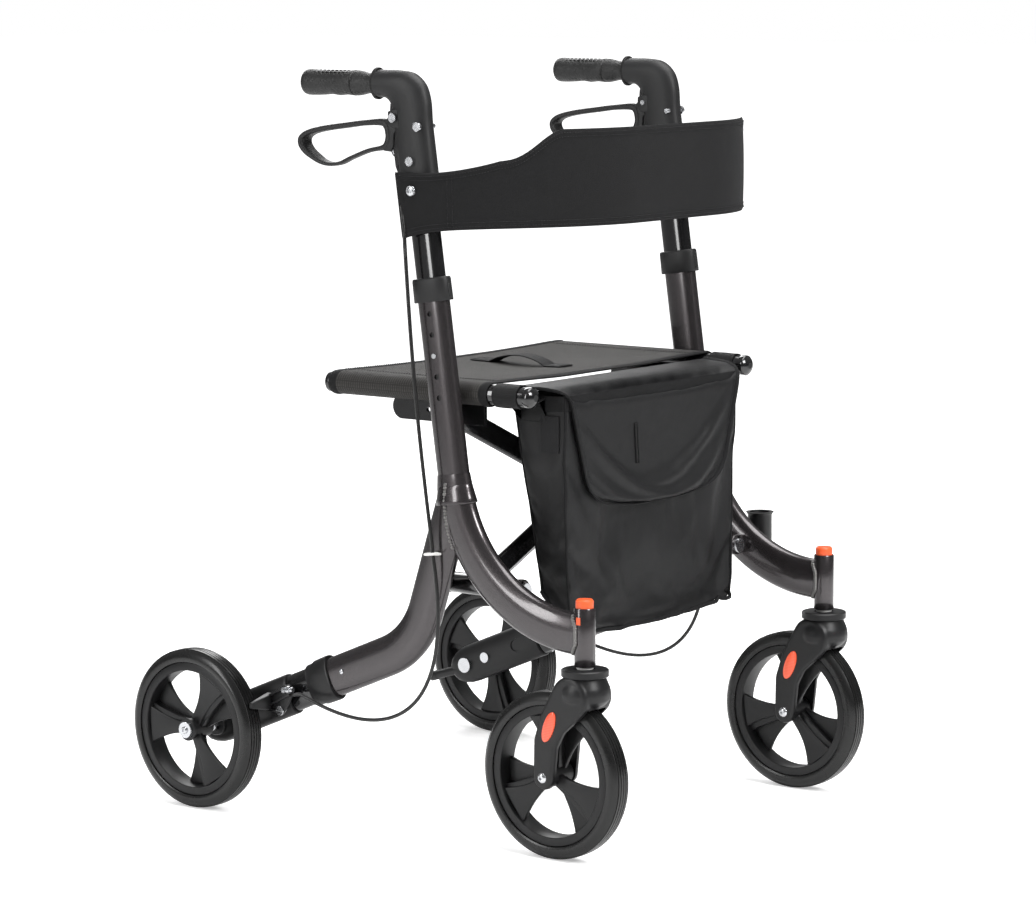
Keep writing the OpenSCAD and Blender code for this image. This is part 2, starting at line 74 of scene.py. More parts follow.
def material(name, color, rough=0.5, metal=0.0, coat=0.0, coat_rough=0.05, spec=0.5, grain=None, grain2=None,
             var=None, weave=None, sheen=0.0, rough_var=0.0):
    """grain = (scale, strength, distance mm); weave = (scale_a, scale_b, strength, axes); var = (scale, amount)"""
    m, t, b = nt(name)
    n, l = t.nodes, t.links
    b.inputs["Base Color"].default_value = (*color, 1)
    b.inputs["Roughness"].default_value = rough
    b.inputs["Metallic"].default_value = metal
    b.inputs["Coat Weight"].default_value = coat
    b.inputs["Coat Roughness"].default_value = coat_rough
    b.inputs["Specular IOR Level"].default_value = spec
    b.inputs["Sheen Weight"].default_value = sheen
    b.inputs["Sheen Roughness"].default_value = 0.5
    tc = n.new("ShaderNodeTexCoord")
    co = tc.outputs["Object"]
    normal = None

    def bump(height, strength, dist):
        nonlocal normal
        k = n.new("ShaderNodeBump")
        k.inputs["Strength"].default_value = strength
        k.inputs["Distance"].default_value = dist * 0.001
        l.new(height, k.inputs["Height"])
        if normal is not None:
            l.new(normal, k.inputs["Normal"])
        normal = k.outputs["Normal"]

    for g in (grain, grain2):
        if g:
            x = n.new("ShaderNodeTexNoise")
            x.inputs["Scale"].default_value = g[0]
            x.inputs["Detail"].default_value = 4
            l.new(co, x.inputs["Vector"])
            bump(x.outputs["Fac"], g[1], g[2])
    if weave:
        sa, sb, strength, axes = weave
        outs = []
        for ax, sc in zip(axes, (sa, sb)):
            w = n.new("ShaderNodeTexWave")
            w.wave_type = "BANDS"
            w.bands_direction = ax
            w.inputs["Scale"].default_value = sc
            w.inputs["Distortion"].default_value = 0.6
            w.inputs["Detail"].default_value = 1.5
            w.inputs["Detail Scale"].default_value = 2
            l.new(co, w.inputs["Vector"])
            outs.append(w.outputs["Fac"])
        mm = n.new("ShaderNodeMath")
        mm.operation = "MULTIPLY"
        l.new(outs[0], mm.inputs[0])
        l.new(outs[1], mm.inputs[1])
        bump(mm.outputs[0], strength, 0.5)
        cr = n.new("ShaderNodeMixRGB")
        cr.inputs[1].default_value = (*[c * 0.62 for c in color], 1)
        cr.inputs[2].default_value = (*[min(1, c * 1.35) for c in color], 1)
        l.new(mm.outputs[0], cr.inputs[0])
        l.new(cr.outputs[0], b.inputs["Base Color"])
    if var:
        x = n.new("ShaderNodeTexNoise")
        x.inputs["Scale"].default_value = var[0]
        x.inputs["Detail"].default_value = 5
        l.new(co, x.inputs["Vector"])
        if not weave:
            cr = n.new("ShaderNodeMixRGB")
            cr.inputs[1].default_value = (*[c * (1 - var[1]) for c in color], 1)
            cr.inputs[2].default_value = (*[min(1, c * (1 + var[1])) for c in color], 1)
            l.new(x.outputs["Fac"], cr.inputs[0])
            l.new(cr.outputs[0], b.inputs["Base Color"])
        if rough_var:
            mr = n.new("ShaderNodeMapRange")
            mr.inputs["To Min"].default_value = max(0.02, rough - rough_var)
            mr.inputs["To Max"].default_value = min(1, rough + rough_var)
            l.new(x.outputs["Fac"], mr.inputs["Value"])
            l.new(mr.outputs[0], b.inputs["Roughness"])
    if normal is not None:
        l.new(normal, b.inputs["Normal"])
    return m


def paint():
    """Charcoal metallic paint: fine flakes under a clear coat."""
    m, t, b = nt("frame_paint")
    n, l = t.nodes, t.links
    tc = n.new("ShaderNodeTexCoord")
    vo = n.new("ShaderNodeTexVoronoi")
    vo.inputs["Scale"].default_value = 2600
    l.new(tc.outputs["Object"], vo.inputs["Vector"])
    cr = n.new("ShaderNodeValToRGB")
    cr.color_ramp.elements[0].position = 0.1
    cr.color_ramp.elements[0].color = (0.026, 0.0235, 0.0245, 1)
    cr.color_ramp.elements[1].position = 0.95
    cr.color_ramp.elements[1].color = (0.085, 0.075, 0.078, 1)
    sep = n.new("ShaderNodeSeparateColor")
    l.new(vo.outputs["Color"], sep.inputs[0])
    l.new(sep.outputs[0], cr.inputs[0])
    l.new(cr.outputs[0], b.inputs["Base Color"])
    no = n.new("ShaderNodeTexNoise")
    no.inputs["Scale"].default_value = 700
    no.inputs["Detail"].default_value = 3
    l.new(tc.outputs["Object"], no.inputs["Vector"])
    bp = n.new("ShaderNodeBump")
    bp.inputs["Strength"].default_value = 0.12
    bp.inputs["Distance"].default_value = 0.0002
    l.new(no.outputs["Fac"], bp.inputs["Height"])
    l.new(bp.outputs["Normal"], b.inputs["Normal"])
    b.inputs["Metallic"].default_value = 0.75
    b.inputs["Roughness"].default_value = 0.27
    b.inputs["Coat Weight"].default_value = 0.7
    b.inputs["Coat Roughness"].default_value = 0.09
    return m


M = {
    "frame_paint": paint(),
    "weld": material("weld_bead", (0.19, 0.185, 0.18), 0.35, 1.0, 0.3, grain=(500, 0.4, 0.6)),
    "gloss_black": material("gloss_black", (0.006, 0.006, 0.0065), 0.14, 0.0, 0.5, 0.04, 0.5, grain=(60, 0.05, 0.4), var=(30, 0.2)),
    "black_plastic": material("black_plastic", (0.0085, 0.0085, 0.009), 0.38, spec=0.36, grain=(1500, 0.28, 0.15), var=(25, 0.2), rough_var=0.06),
    "matte_plastic": material("matte_plastic", (0.012, 0.012, 0.0125), 0.50, spec=0.34, grain=(1700, 0.4, 0.2), var=(30, 0.2), rough_var=0.06),
    "rubber": material("rubber", (0.009, 0.009, 0.009), 0.58, spec=0.3, grain=(900, 0.5, 0.3), var=(60, 0.25)),
    "grip_rubber": material("grip_rubber", (0.010, 0.010, 0.010), 0.46, spec=0.4, grain=(330, 0.9, 1.1), grain2=(1400, 0.4, 0.3), var=(60, 0.25)),
    "tyre": material("tyre", (0.0075, 0.0075, 0.0075), 0.28, spec=0.42, grain=(1100, 0.16, 0.2), var=(18, 0.25), rough_var=0.1),
    "rim": material("rim_plastic", (0.008, 0.008, 0.0085), 0.42, spec=0.36, grain=(1300, 0.3, 0.15), var=(22, 0.2), rough_var=0.06),
    # near-black fill for openings: painted shade standing in for the dark inside of holes and slots
    "dark_hole": material("dark_hole", (0.004, 0.004, 0.004), 0.8, grain=(600, 0.2, 0.2)),
    "steel": material("steel", (0.62, 0.63, 0.65), 0.25, 1.0, grain=(900, 0.18, 0.15), var=(200, 0.12), rough_var=0.08),
    "dark_steel": material("dark_steel", (0.20, 0.20, 0.21), 0.35, 1.0, grain=(900, 0.2, 0.15), var=(200, 0.15)),
    "orange": material("orange_plastic", (0.86, 0.115, 0.030), 0.35, spec=0.5, grain=(1200, 0.15, 0.12), var=(60, 0.12)),
    "seat_cloth": material("seat_cloth", (0.030, 0.028, 0.026), 0.72, spec=0.28, weave=(380, 90, 0.8, ("X", "Y")), sheen=0.04, var=(40, 0.2), rough_var=0.05),
    "strap_cloth": material("strap_cloth", (0.0095, 0.0095, 0.010), 0.85, spec=0.2, grain=(1100, 0.8, 0.5), grain2=(240, 0.2, 0.6), sheen=0.02, var=(70, 0.2), rough_var=0.04),
    "binding": material("binding", (0.007, 0.007, 0.0075), 0.75, spec=0.22, grain=(1500, 0.7, 0.4), sheen=0.0, var=(90, 0.2)),
    "webbing": material("webbing", (0.006, 0.006, 0.0065), 0.62, spec=0.3, weave=(600, 300, 0.9, ("X", "Y")), sheen=0.0, var=(50, 0.2)),
    "bag_cloth": material("bag_cloth", (0.0075, 0.0075, 0.008), 0.52, spec=0.3, grain=(1900, 0.5, 0.3), grain2=(55, 0.25, 2.2), sheen=0.0, var=(16, 0.2), rough_var=0.08),
    "thread": material("thread", (0.020, 0.020, 0.021), 0.65, spec=0.3, grain=(2500, 0.3, 0.1)),
    "velcro": material("velcro", (0.010, 0.010, 0.011), 0.95, grain=(2600, 1.0, 0.9), var=(900, 0.5)),
    "white_plastic": material("white_plastic", (0.78, 0.78, 0.76), 0.4, grain=(900, 0.1, 0.1)),
    "cable": material("cable_sheath", (0.008, 0.008, 0.008), 0.34, grain=(600, 0.1, 0.1), var=(80, 0.2)),
}


def reflector_material():
    m, t, b = nt("reflector")
    n, l = t.nodes, t.links
    tc = n.new("ShaderNodeTexCoord")
    vo = n.new("ShaderNodeTexVoronoi")
    vo.inputs["Scale"].default_value = 520
    vo.inputs["Randomness"].default_value = 0.0
    l.new(tc.outputs["Object"], vo.inputs["Vector"])
    cr = n.new("ShaderNodeValToRGB")
    cr.color_ramp.elements[0].color = (1.0, 0.22, 0.10, 1)
    cr.color_ramp.elements[1].color = (0.78, 0.06, 0.02, 1)
    cr.color_ramp.elements[1].position = 0.7
    l.new(vo.outputs["Distance"], cr.inputs[0])
    l.new(cr.outputs[0], b.inputs["Base Color"])
    bp = n.new("ShaderNodeBump")
    bp.inputs["Strength"].default_value = 0.5
    bp.inputs["Distance"].default_value = 0.0005
    l.new(vo.outputs["Distance"], bp.inputs["Height"])
    l.new(bp.outputs["Normal"], b.inputs["Normal"])
    b.inputs["Roughness"].default_value = 0.22
    b.inputs["Coat Weight"].default_value = 0.6
    # painted glow: a faint orange emission makes the reflector shine by itself, standing in for light sent back by its
    # prisms
    b.inputs["Emission Color"].default_value = (1.0, 0.12, 0.04, 1)
    b.inputs["Emission Strength"].default_value = 0.12
    return m


M["reflector"] = reflector_material()


# ------------------------------------------------------------------ geometry helpers (mm, row frame)
def place(side, v):
    """Side parts are drawn about x = 0 with the outside of the walker towards -X."""
    v = np.array(v, float).reshape(-1, 3)
    out = v.copy()
    if side == R:
        out[:, 0] = -FX + v[:, 0]
    elif side == L:
        out[:, 0] = FX - v[:, 0]
    return out


def leg(s, n=0.0):
    return np.array([REAR_Y - s * CS + n * SN, WR + s * SN + n * CS])


def post(u):
    return P0 + u * np.array([math.sin(LEAN), math.cos(LEAN)])


def sup(c, e):
    return math.copysign(abs(c) ** (2.0 / e), c)


def section(c, d, b, r, e=2.2, n=36, x0=0.0):
    """An oval ring in the plane through c (y, z) whose in-plane normal is d; b along d, r along x."""
    out = []
    for k in range(n):
        a = 2 * math.pi * k / n
        u, w = b * sup(math.cos(a), e), r * sup(math.sin(a), e)
        out.append((x0 + w, c[0] + u * d[0], c[1] + u * d[1]))
    return out


def loft(rings, cap=True, closed=False):
    """Solid through rings of equal count."""
    m = len(rings[0])
    v = [p for ring in rings for p in ring]
    f = []
    k = len(rings)
    for i in range(k if closed else k - 1):
        a, b = i * m, ((i + 1) % k) * m
        for j in range(m):
            q = (j + 1) % m
            f.append((a + j, a + q, b + q, b + j))
    if cap and not closed:
        f.append(tuple(range(m))[::-1])
        f.append(tuple(range((k - 1) * m, k * m)))
    return v, f


def lathe(profile, o, d, seg=40, closed=False):
    """profile: (t along the axis, radius); o a point, d the axis direction."""
    o, d = np.array(o, float), np.array(d, float)
    d = d / np.linalg.norm(d)
    a = np.cross(d, [0, 0, 1.0])
    if np.linalg.norm(a) < 1e-3:
        a = np.cross(d, [0, 1.0, 0])
    a = a / np.linalg.norm(a)
    b = np.cross(d, a)
    rings = []
    for t, r in profile:
        r = max(r, 0.02)
        rings.append([tuple(o + d * t + r * (math.cos(2 * math.pi * k / seg) * a + math.sin(2 * math.pi * k / seg) * b)) for k in range(seg)])
    return loft(rings, cap=not closed, closed=closed)


def rod(p, q, r, seg=32, ch=0.6):
    h = float(np.linalg.norm(np.array(q, float) - np.array(p, float)))
    return lathe([(0, r - ch), (ch, r), (h - ch, r), (h, r - ch)], p, np.array(q, float) - np.array(p, float), seg)


def prism(poly, x0, x1):
    """poly in (y, z), extruded along x."""
    n = len(poly)
    v = [(x0, y, z) for y, z in poly] + [(x1, y, z) for y, z in poly]
    f = [tuple(range(n))[::-1], tuple(range(n, 2 * n))]
    f += [(i, (i + 1) % n, n + (i + 1) % n, n + i) for i in range(n)]
    return v, f


def ball(c, r, seg=10, sq=(1, 1, 1)):
    rings = []
    v, f = [], []
    for i in range(1, seg // 2):
        t = math.pi * i / (seg // 2)
        rings.append([(c[0] + sq[0] * r * math.sin(t) * math.cos(2 * math.pi * k / seg), c[1] + sq[1] * r * math.sin(t) * math.sin(2 * math.pi * k / seg), c[2] + sq[2] * r * math.cos(t)) for k in range(seg)])
    v, f = loft(rings, cap=True)
    return v, f


def sweep(path, r, seg=10, closed=False, flat=None, up=(0, 0, 1)):
    """Round (or flat = (half width along up, half thickness)) section along a 3D path, parallel transported."""
    p = np.array(path, float)
    n = len(p)
    tan = np.zeros_like(p)
    for i in range(n):
        a = p[(i - 1) % n] if (closed or i > 0) else p[i]
        b = p[(i + 1) % n] if (closed or i < n - 1) else p[i]
        tan[i] = (b - a) / max(1e-9, np.linalg.norm(b - a))
    rings = []
    nrm = np.cross(tan[0], np.array(up, float))
    if np.linalg.norm(nrm) < 1e-3:
        nrm = np.cross(tan[0], [1, 0, 0.3])
    nrm /= np.linalg.norm(nrm)
    for i in range(n):
        nrm = nrm - tan[i] * np.dot(nrm, tan[i])
        nrm /= np.linalg.norm(nrm)
        bi = np.cross(tan[i], nrm)
        ra, rb = (r, r) if flat is None else flat
        e = 2.0 if flat is None else 4.0
        rings.append([tuple(p[i] + nrm * rb * sup(math.cos(2 * math.pi * k / seg), e) + bi * ra * sup(math.sin(2 * math.pi * k / seg), e)) for k in range(seg)])
    return loft(rings, cap=not closed, closed=closed)


def merge(parts):
    v, f, o = [], [], 0
    for pv, pf in parts:
        v += [tuple(x) for x in pv]
        f += [tuple(i + o for i in q) for q in pf]
        o += len(pv)
    return v, f


def apply_mods(o):
    dg = bpy.context.evaluated_depsgraph_get()
    dg.update()
    me = bpy.data.meshes.new_from_object(o.evaluated_get(dg))
    old = o.data
    o.modifiers.clear()
    o.data = me
    bpy.data.meshes.remove(old)


def shade(o, sharp=32):
    o.data.shade_smooth()
    if sharp is not None:
        o.data.set_sharp_from_angle(angle=math.radians(sharp))


def raw(name, parts, mat, side=None):
    v, f = merge(parts)
    if side:
        v = place(side, v)
    me = bpy.data.meshes.new(name)
    me.from_pydata([tuple(float(c) * 0.001 for c in p) for p in v], [], f)
    o = bpy.data.objects.new(name, me)
    SCN.collection.objects.link(o)
    bm = bmesh.new()
    bm.from_mesh(me)
    bmesh.ops.recalc_face_normals(bm, faces=bm.faces)
    bm.to_mesh(me)
    bm.free()
    me.materials.append(M[mat])
    o["mat"] = mat
    return o


def piece(name, parts, mat, body, side=None, bevel=0.0, seg=2, angle=30, sharp=32, replaces=(), cut=None, sub=0):
    o = raw(name, parts, mat, side)
    if cut:
        c = raw(name + "_cut", cut, mat, side)
        m = o.modifiers.new("b", "BOOLEAN")
        m.operation = "DIFFERENCE"
        m.object = c
        m.solver = "EXACT"
        apply_mods(o)
        bpy.data.objects.remove(c)
    if bevel:
        m = o.modifiers.new("v", "BEVEL")
        m.width = bevel * 0.001
        m.segments = seg
        m.limit_method = "ANGLE"
        m.angle_limit = math.radians(angle)
        m.harden_normals = False
        apply_mods(o)
    if sub:
        m = o.modifiers.new("s", "SUBSURF")
        m.levels = sub
        apply_mods(o)
    shade(o, sharp)
    if body:
        finish_piece(o, body, replaces)
    return o


def finish_piece(o, body, replaces=()):
    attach(o, body)
    if replaces:
        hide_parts(*replaces)
    return o


def catmull(pts, per=6):
    p = np.array(pts, float)
    p = np.vstack([2 * p[0] - p[1], p, 2 * p[-1] - p[-2]])
    out = []
    for i in range(1, len(p) - 2):
        for k in range(per):
            t = k / per
            out.append(0.5 * ((2 * p[i]) + (-p[i - 1] + p[i + 1]) * t + (2 * p[i - 1] - 5 * p[i] + 4 * p[i + 1] - p[i + 2]) * t * t + (-p[i - 1] + 3 * p[i] - 3 * p[i + 1] + p[i + 2]) * t ** 3))
    out.append(p[-2])
    return np.array(out)


def catmull_loop(pts, per=4):
    p = np.array(pts, float)
    n = len(p)
    out = []
    for i in range(n):
        a, b, c, d = p[(i - 1) % n], p[i], p[(i + 1) % n], p[(i + 2) % n]
        for k in range(per):
            t = k / per
            out.append(0.5 * ((2 * b) + (-a + c) * t + (2 * a - 5 * b + 4 * c - d) * t * t + (-a + 3 * b - 3 * c + d) * t ** 3))
    return np.array(out)


def stitches(path, pitch=3.6, length=2.3, r=0.42, off=None):
    """A row of short thread stitches along a path (points, mm)."""
    p = np.array(path, float)
    d = np.r_[0, np.cumsum(np.linalg.norm(np.diff(p, axis=0), axis=1))]
    parts = []
    n = int(d[-1] / pitch)
    for i in range(n):
        a, b = (i + 0.5) * pitch - length / 2, (i + 0.5) * pitch + length / 2
        q = [np.array([np.interp(s, d, p[:, k]) for k in range(3)]) for s in (a, (a + b) / 2, b)]
        t = q[2] - q[0]
        t /= max(1e-9, np.linalg.norm(t))
        u = np.cross(t, [0.3, 0.5, 0.8])
        u /= np.linalg.norm(u)
        w = np.cross(t, u)
        rings = []
        for c, rr in ((q[0], 0.35 * r), (q[1], r), (q[2], 0.35 * r)):
            rings.append([tuple(c + rr * (math.cos(1.2566 * k) * u + math.sin(1.2566 * k) * w)) for k in range(5)])
        parts.append(loft(rings))
    return parts


def screw_head(c, d, r, h, cross=True):
    """A pan head pointing along d with a small recess."""
    prof = [(0, r), (h * 0.45, r), (h * 0.8, r * 0.82), (h, r * 0.5), (h, r * 0.42), (h * 0.55, r * 0.38)]
    return lathe(prof, c, d, 28)


# ------------------------------------------------------------------ side frames
ARC_A0 = -12.7
ARC_R = 188.9
ARC_C = P0 - ARC_R * np.array([math.cos(math.radians(ARC_A0)), math.sin(math.radians(ARC_A0))])
STEM_Z = ARC_C[1] - ARC_R
kx, kz = REAR_Y - P0[0], P0[1] - WR
knee = (kz - math.tan(SLOPE) * kx) / (math.sin(STEEP) - math.tan(SLOPE) * math.cos(STEEP))
knee_p = P0 + knee * np.array([math.cos(STEEP), -math.sin(STEEP)])
knee_t = 108 * math.tan((STEEP - SLOPE) / 2)
K1 = knee_p + knee_t * np.array([-math.cos(STEEP), math.sin(STEEP)])
K2 = knee_p + knee_t * np.array([CS, -SN])
KC = K2 + 108 * np.array([SN, CS])


def front_leg_rings(b, r, e=2.35):
    out = []
    out.append(section(post(26), (math.cos(LEAN), -math.sin(LEAN)), b - 2, r - 1.2, e))
    for k in range(0, 49):
        a = math.radians(ARC_A0 + 3 + (-88.5 - ARC_A0 - 3) * k / 48)
        d = np.array([math.cos(a), math.sin(a)])
        out.append(section(ARC_C + ARC_R * d, d, b, r, e))
    a = math.radians(-89)
    d = np.array([math.cos(a), math.sin(a)])
    out.append(section(ARC_C + ARC_R * d + np.array([-5, 0]), d, b, r, e))
    return out


def rear_leg_rings(b, r, e=2.35):
    out = []
    d0 = np.array([math.sin(STEEP), math.cos(STEEP)])
    for k in range(5):
        c = P0 + (K1 - P0) * (k / 5)
        out.append(section(c, d0, b, r, e))
    for k in range(25):
        a = -(math.pi / 2 + STEEP) + (STEEP - SLOPE) * k / 24
        d = np.array([math.cos(a), math.sin(a)])
        out.append(section(KC + 108 * d, -d, b, r, e))
    d1 = np.array([SN, CS])
    for k in range(1, 7):
        s = np.linalg.norm(K2 - leg(0)) * (1 - k / 6) + 188 * (k / 6)
        out.append(section(leg(s), d1, b, r, e))
    return out


def oval_post(u0, u1, b, r, e=2.5, n=40, steps=2, ends=0.0):
    d = (math.cos(LEAN), -math.sin(LEAN))
    out = []
    if ends:
        us = [u0, u0 + ends * 0.35, u0 + ends] + list(np.linspace(u0 + ends, u1 - ends, steps + 1)[1:-1]) + [u1 - ends, u1 - ends * 0.35, u1]
        ins = [ends, ends * 0.3, 0] + [0] * (steps - 1) + [0, ends * 0.3, ends]
    else:
        us = list(np.linspace(u0, u1, steps + 1))
        ins = [0] * len(us)
    for u, i in zip(us, ins):
        out.append(section(post(u), d, b - i, r - i, e, n))
    return out


for s in SIDES:
    fb = f"{s}_frame"
    holes = [(167.5 + (k - 2) * 25) for k in range(5)]
    cut = []
    for u in holes:
        c = post(u)
        cut.append(rod((-20, c[0], c[1]), (-7.5, c[0], c[1]), 3.4, 24, 0))
    piece(f"{s}_post", [loft(oval_post(8, 250, 22, 11, 2.5, 48, 8))], "frame_paint", fb, s, cut=cut, sharp=40, replaces=(fb,))
    # near-black discs sunk in the empty adjustment holes: painted shade for the dark inside of each hole
    hole_shade_discs = []
    for i, u in enumerate(holes):
        if i != 2:
            c = post(u)
            hole_shade_discs.append(rod((-8.4, c[0], c[1]), (-7.0, c[0], c[1]), 3.6, 20, 0))
    piece(f"{s}_post_hole_shade", hole_shade_discs, "dark_hole", fb, s)
    d = (math.cos(LEAN), -math.sin(LEAN))
    fer = [(14, 21.8, 10.8), (14, 23.2, 12.0), (12.5, 24.1, 12.9), (9, 24.6, 13.4), (-4, 27.2, 15.1), (-8.5, 28.2, 16.0), (-9.6, 27.8, 15.7), (-10, 26.6, 14.6), (-9, 24, 12)]
    piece(f"{s}_frame_ferrule", [loft([section(post(u), d, b, r, 2.4, 44) for u, b, r in fer])], "frame_paint", fb, s, sharp=50)
    piece(f"{s}_front_leg", [loft(front_leg_rings(25, 13))], "frame_paint", fb, s, sharp=60)
    piece(f"{s}_rear_leg", [loft(rear_leg_rings(24.6, 12.5))], "frame_paint", fb, s, sharp=60)
    d1 = np.array([SN, CS])
    piece(f"{s}_rear_inner_tube", [loft([section(leg(t), d1, 23, 11, 2.35) for t in (190, 150, 110, 60)])], "gloss_black", fb, s)
    st = [(-36.4, 10.2), (-37, 11), (-37, 12.1), (-36.4, 12.6), (31.0, 12.6), (32, 12.0), (32, 10.9), (30, 10.6)]
    piece(f"{s}_stem_tube", [lathe([(t, r) for t, r in st], (0, STEM_Y, STEM_Z), (0, 0, 1), 48)], "frame_paint", fb, s, sharp=40)
    # release window and nylon washer
    piece(f"{s}_stem_window", [prism([(STEM_Y - 3, STEM_Z + 13), (STEM_Y + 3, STEM_Z + 13), (STEM_Y + 3, STEM_Z + 22), (STEM_Y - 3, STEM_Z + 22)], -12.75, -11)], "orange", fb, s, bevel=0.4)
    piece(f"{s}_stem_washer", [lathe([(0, 6.2), (0, 9.4), (0.6, 10), (2.6, 10), (3.2, 9.4), (3.2, 6.2)], (0, STEM_Y, STEM_Z - 40.2), (0, 0, 1), 36)], "white_plastic", fb, s)
    # weld beads
    beads = []
    for xs_ in (-1, 1):
        for k in range(20):
            t = k / 19
            a = math.radians(ARC_A0 + 4.5 - 21 * t)
            ro = 3 + 19.5 * t
            c = ARC_C + (ARC_R + ro) * np.array([math.cos(a), math.sin(a)])
            xx = 12.4 * max(0.0, 1 - (abs(ro) / 25) ** 2.35) ** (1 / 2.35)
            beads.append(ball((xs_ * (xx + 0.7), c[0], c[1]), 2.5 + 0.4 * math.sin(k * 2.7), 10))
        for k in range(17):
            z = STEM_Z - 22 + k * 2.75
            h = 25 * (1 - (abs(z - STEM_Z) / 25.4) ** 2.35) ** (1 / 2.35) if abs(z - STEM_Z) < 25 else 0
            w = 13 * max(0.0, 1 - (abs(z - STEM_Z) / 25) ** 2.35) ** (1 / 2.35)
            w = min(w, 12.2)
            yy = math.sqrt(max(0.0, 12.6 ** 2 - w * w))
            beads.append(ball((xs_ * (w + 0.7), STEM_Y + yy + 1.0, z), 2.6 + 0.35 * math.sin(k * 3.1), 10))
    piece(f"{s}_weld_beads", beads, "weld", fb, s, sharp=None)
    # rivet on the rear leg
    c = leg(226, 2)
    piece(f"{s}_leg_rivet", [screw_head((-12.2, c[0], c[1]), (-1, 0, 0), 3.2, 2.0)], "steel", fb, s)
    # lower pivot lugs
    lug = []
    for y in (-190, -80):
        lug.append(([(8, y - 6, 297), (29, y - 6, 296), (29, y + 6, 296), (8, y + 6, 297), (8, y - 6, 319), (29, y - 6, 320), (29, y + 6, 320), (8, y + 6, 319)],
                    [(0, 3, 2, 1), (4, 5, 6, 7), (0, 1, 5, 4), (1, 2, 6, 5), (2, 3, 7, 6), (3, 0, 4, 7)]))
        lug.append(rod((29, y - 6, 308), (29, y + 6, 308), 13, 36, 1))
    piece(f"{s}_pivot_lugs", lug, "frame_paint", fb, s, bevel=0.8)
    # height collar
    col = [(231.6, 24.6, 12.4), (231.6, 26.2, 13.3), (232.6, 27, 14), (257, 26.6, 13.7), (259.4, 26, 13.2), (260.2, 24.6, 12.2), (260.2, 21.2, 9.8)]
    piece(f"{s}_collar", [loft([section(post(u), d, b, r, 2.4, 44) for u, b, r in col])], "matte_plastic", fb, s, sharp=45, replaces=(f"{s}_height_collar",))
    piece(f"{s}_collar_key", [prism([tuple(post(236) + np.array([-27.6, 3])), tuple(post(236) + np.array([-25, 3])), tuple(post(252) + np.array([-25, 3])), tuple(post(252) + np.array([-27.6, 3]))], -3, 3)], "matte_plastic", fb, s, bevel=0.8)
    # ---- handle
    hb = f"{s}_handle"
    piece(f"{s}_inner_post", [loft(oval_post(90, 405, 20.4, 9.4, 2.5, 44, 8))], "gloss_black", hb, s, sharp=40, replaces=(f"{s}_upper_tube",))
    prof = [((-98.0, 750.5), (-46.0, 743.5), 13.5, 2.6), ((-88.9, 817.8), (-37.0, 810.8), 13.5, 2.6), ((-83.6, 857.5), (-31.9, 850.4), 13.6, 2.5),
            ((-81.6, 884), (-28.4, 872), 14.0, 2.4), ((-74.5, 903.5), (-24.8, 880.6), 14.6, 2.3), ((-58.5, 916.2), (-20, 885.2), 15.4, 2.2),
            ((-38, 919.6), (-15, 887), 16.0, 2.1), ((-18, 920), (-10, 887), 16.3, 2.0), ((-6, 920), (-5.5, 887), 16.4, 2.0)]
    arr = catmull([list(a) + list(b) + [t, e] for a, b, t, e in prof], 6)
    rings = []
    for q in arr:
        o_, i_ = np.array(q[0:2]), np.array(q[2:4])
        dd = o_ - i_
        rings.append(section((o_ + i_) / 2, dd / np.linalg.norm(dd), np.linalg.norm(dd) / 2, q[4], q[5], 44))
    bot = np.array(rings[0])
    cen = bot.mean(0)
    rings = [[tuple(cen + (p - cen) * 0.955 + np.array([0, -0.1, -0.9])) for p in bot]] + rings
    piece(f"{s}_elbow_shell", [loft(rings)], "matte_plastic", hb, s, sharp=50, replaces=(f"{s}_elbow",))
    piece(f"{s}_elbow_fin", [prism([(-30, 886), (-24, 880), (-22.5, 862), (-25.5, 846), (-28, 828), (-31, 806), (-35, 797), (-44, 797), (-42, 886)], -4.2, 4.2)], "matte_plastic", hb, s, bevel=1.2, seg=3)
    piece(f"{s}_elbow_cheeks", [prism([(-36, 874), (-27.2, 871), (-26.6, 856), (-30, 852), (-44, 852), (-44, 874)], a, b) for a, b in ((-12.6, -8.2), (8.2, 12.6))], "matte_plastic", hb, s, bevel=1.2, seg=3)
    # grip: oval flange, neck, ribbed body
    fl = [(-5.2, 17.3, 12.2), (-5.4, 18.6, 13.6), (-4.4, 19, 14), (-1.2, 19, 14), (-0.2, 18.2, 13.2), (0.4, 15, 12.3)]
    piece(f"{s}_grip_flange", [loft([[(r * math.cos(a), y, 903.5 + b * math.sin(a)) for a in [2 * math.pi * k / 44 for k in range(44)]] for y, b, r in fl])], "rubber", hb, s, sharp=45)
    gp = [(-0.5, 11), (0, 12.0), (3, 12.0), (8, 12.0), (13, 12.6), (19, 13.9), (25, 14.9), (28.6, 15.2), (29.4, 15.0), (29.8, 14.3), (30.6, 14.3), (31.0, 15.0), (31.8, 15.3),
          (44, 15.0), (56, 14.7), (68, 14.6), (80, 14.9), (92, 15.4), (100, 15.7), (105, 15.6), (107.8, 14.9), (109.4, 13.0), (110, 8.0), (110, 0.1)]
    grings = []
    for y, r in gp:
        ring = []
        for k in range(56):
            a = 2 * math.pi * k / 56
            bump = 0
            if 35 < y < 100:
                under = max(0.0, -math.sin(a))
                bump = 0.75 * under * math.sin((y - 50) / 14.5 * math.pi)
                top = max(0.0, math.sin(a) - 0.35)
                bump -= 0.9 * top
            ring.append(((r + bump) * math.cos(a), y, 903.5 + (r + bump) * math.sin(a)))
        grings.append(ring)
    piece(f"{s}_grip_body", [loft(grings)], "grip_rubber", hb, s, sharp=40, replaces=(f"{s}_grip",))
    # raised pads along the upper outside of the grip
    pads = []
    for k in range(9):
        y = 40 + k * 6.4
        for a0 in (62, 90, 118):
            a = math.radians(a0)
            rr = 14.25
            pads.append(ball((rr * math.cos(a), y + (3.2 if a0 == 90 else 0), 903.5 + rr * math.sin(a)), 2.1, 10, (1, 1.2, 0.5)))
    piece(f"{s}_grip_pads", pads, "rubber", hb, s, sharp=None)
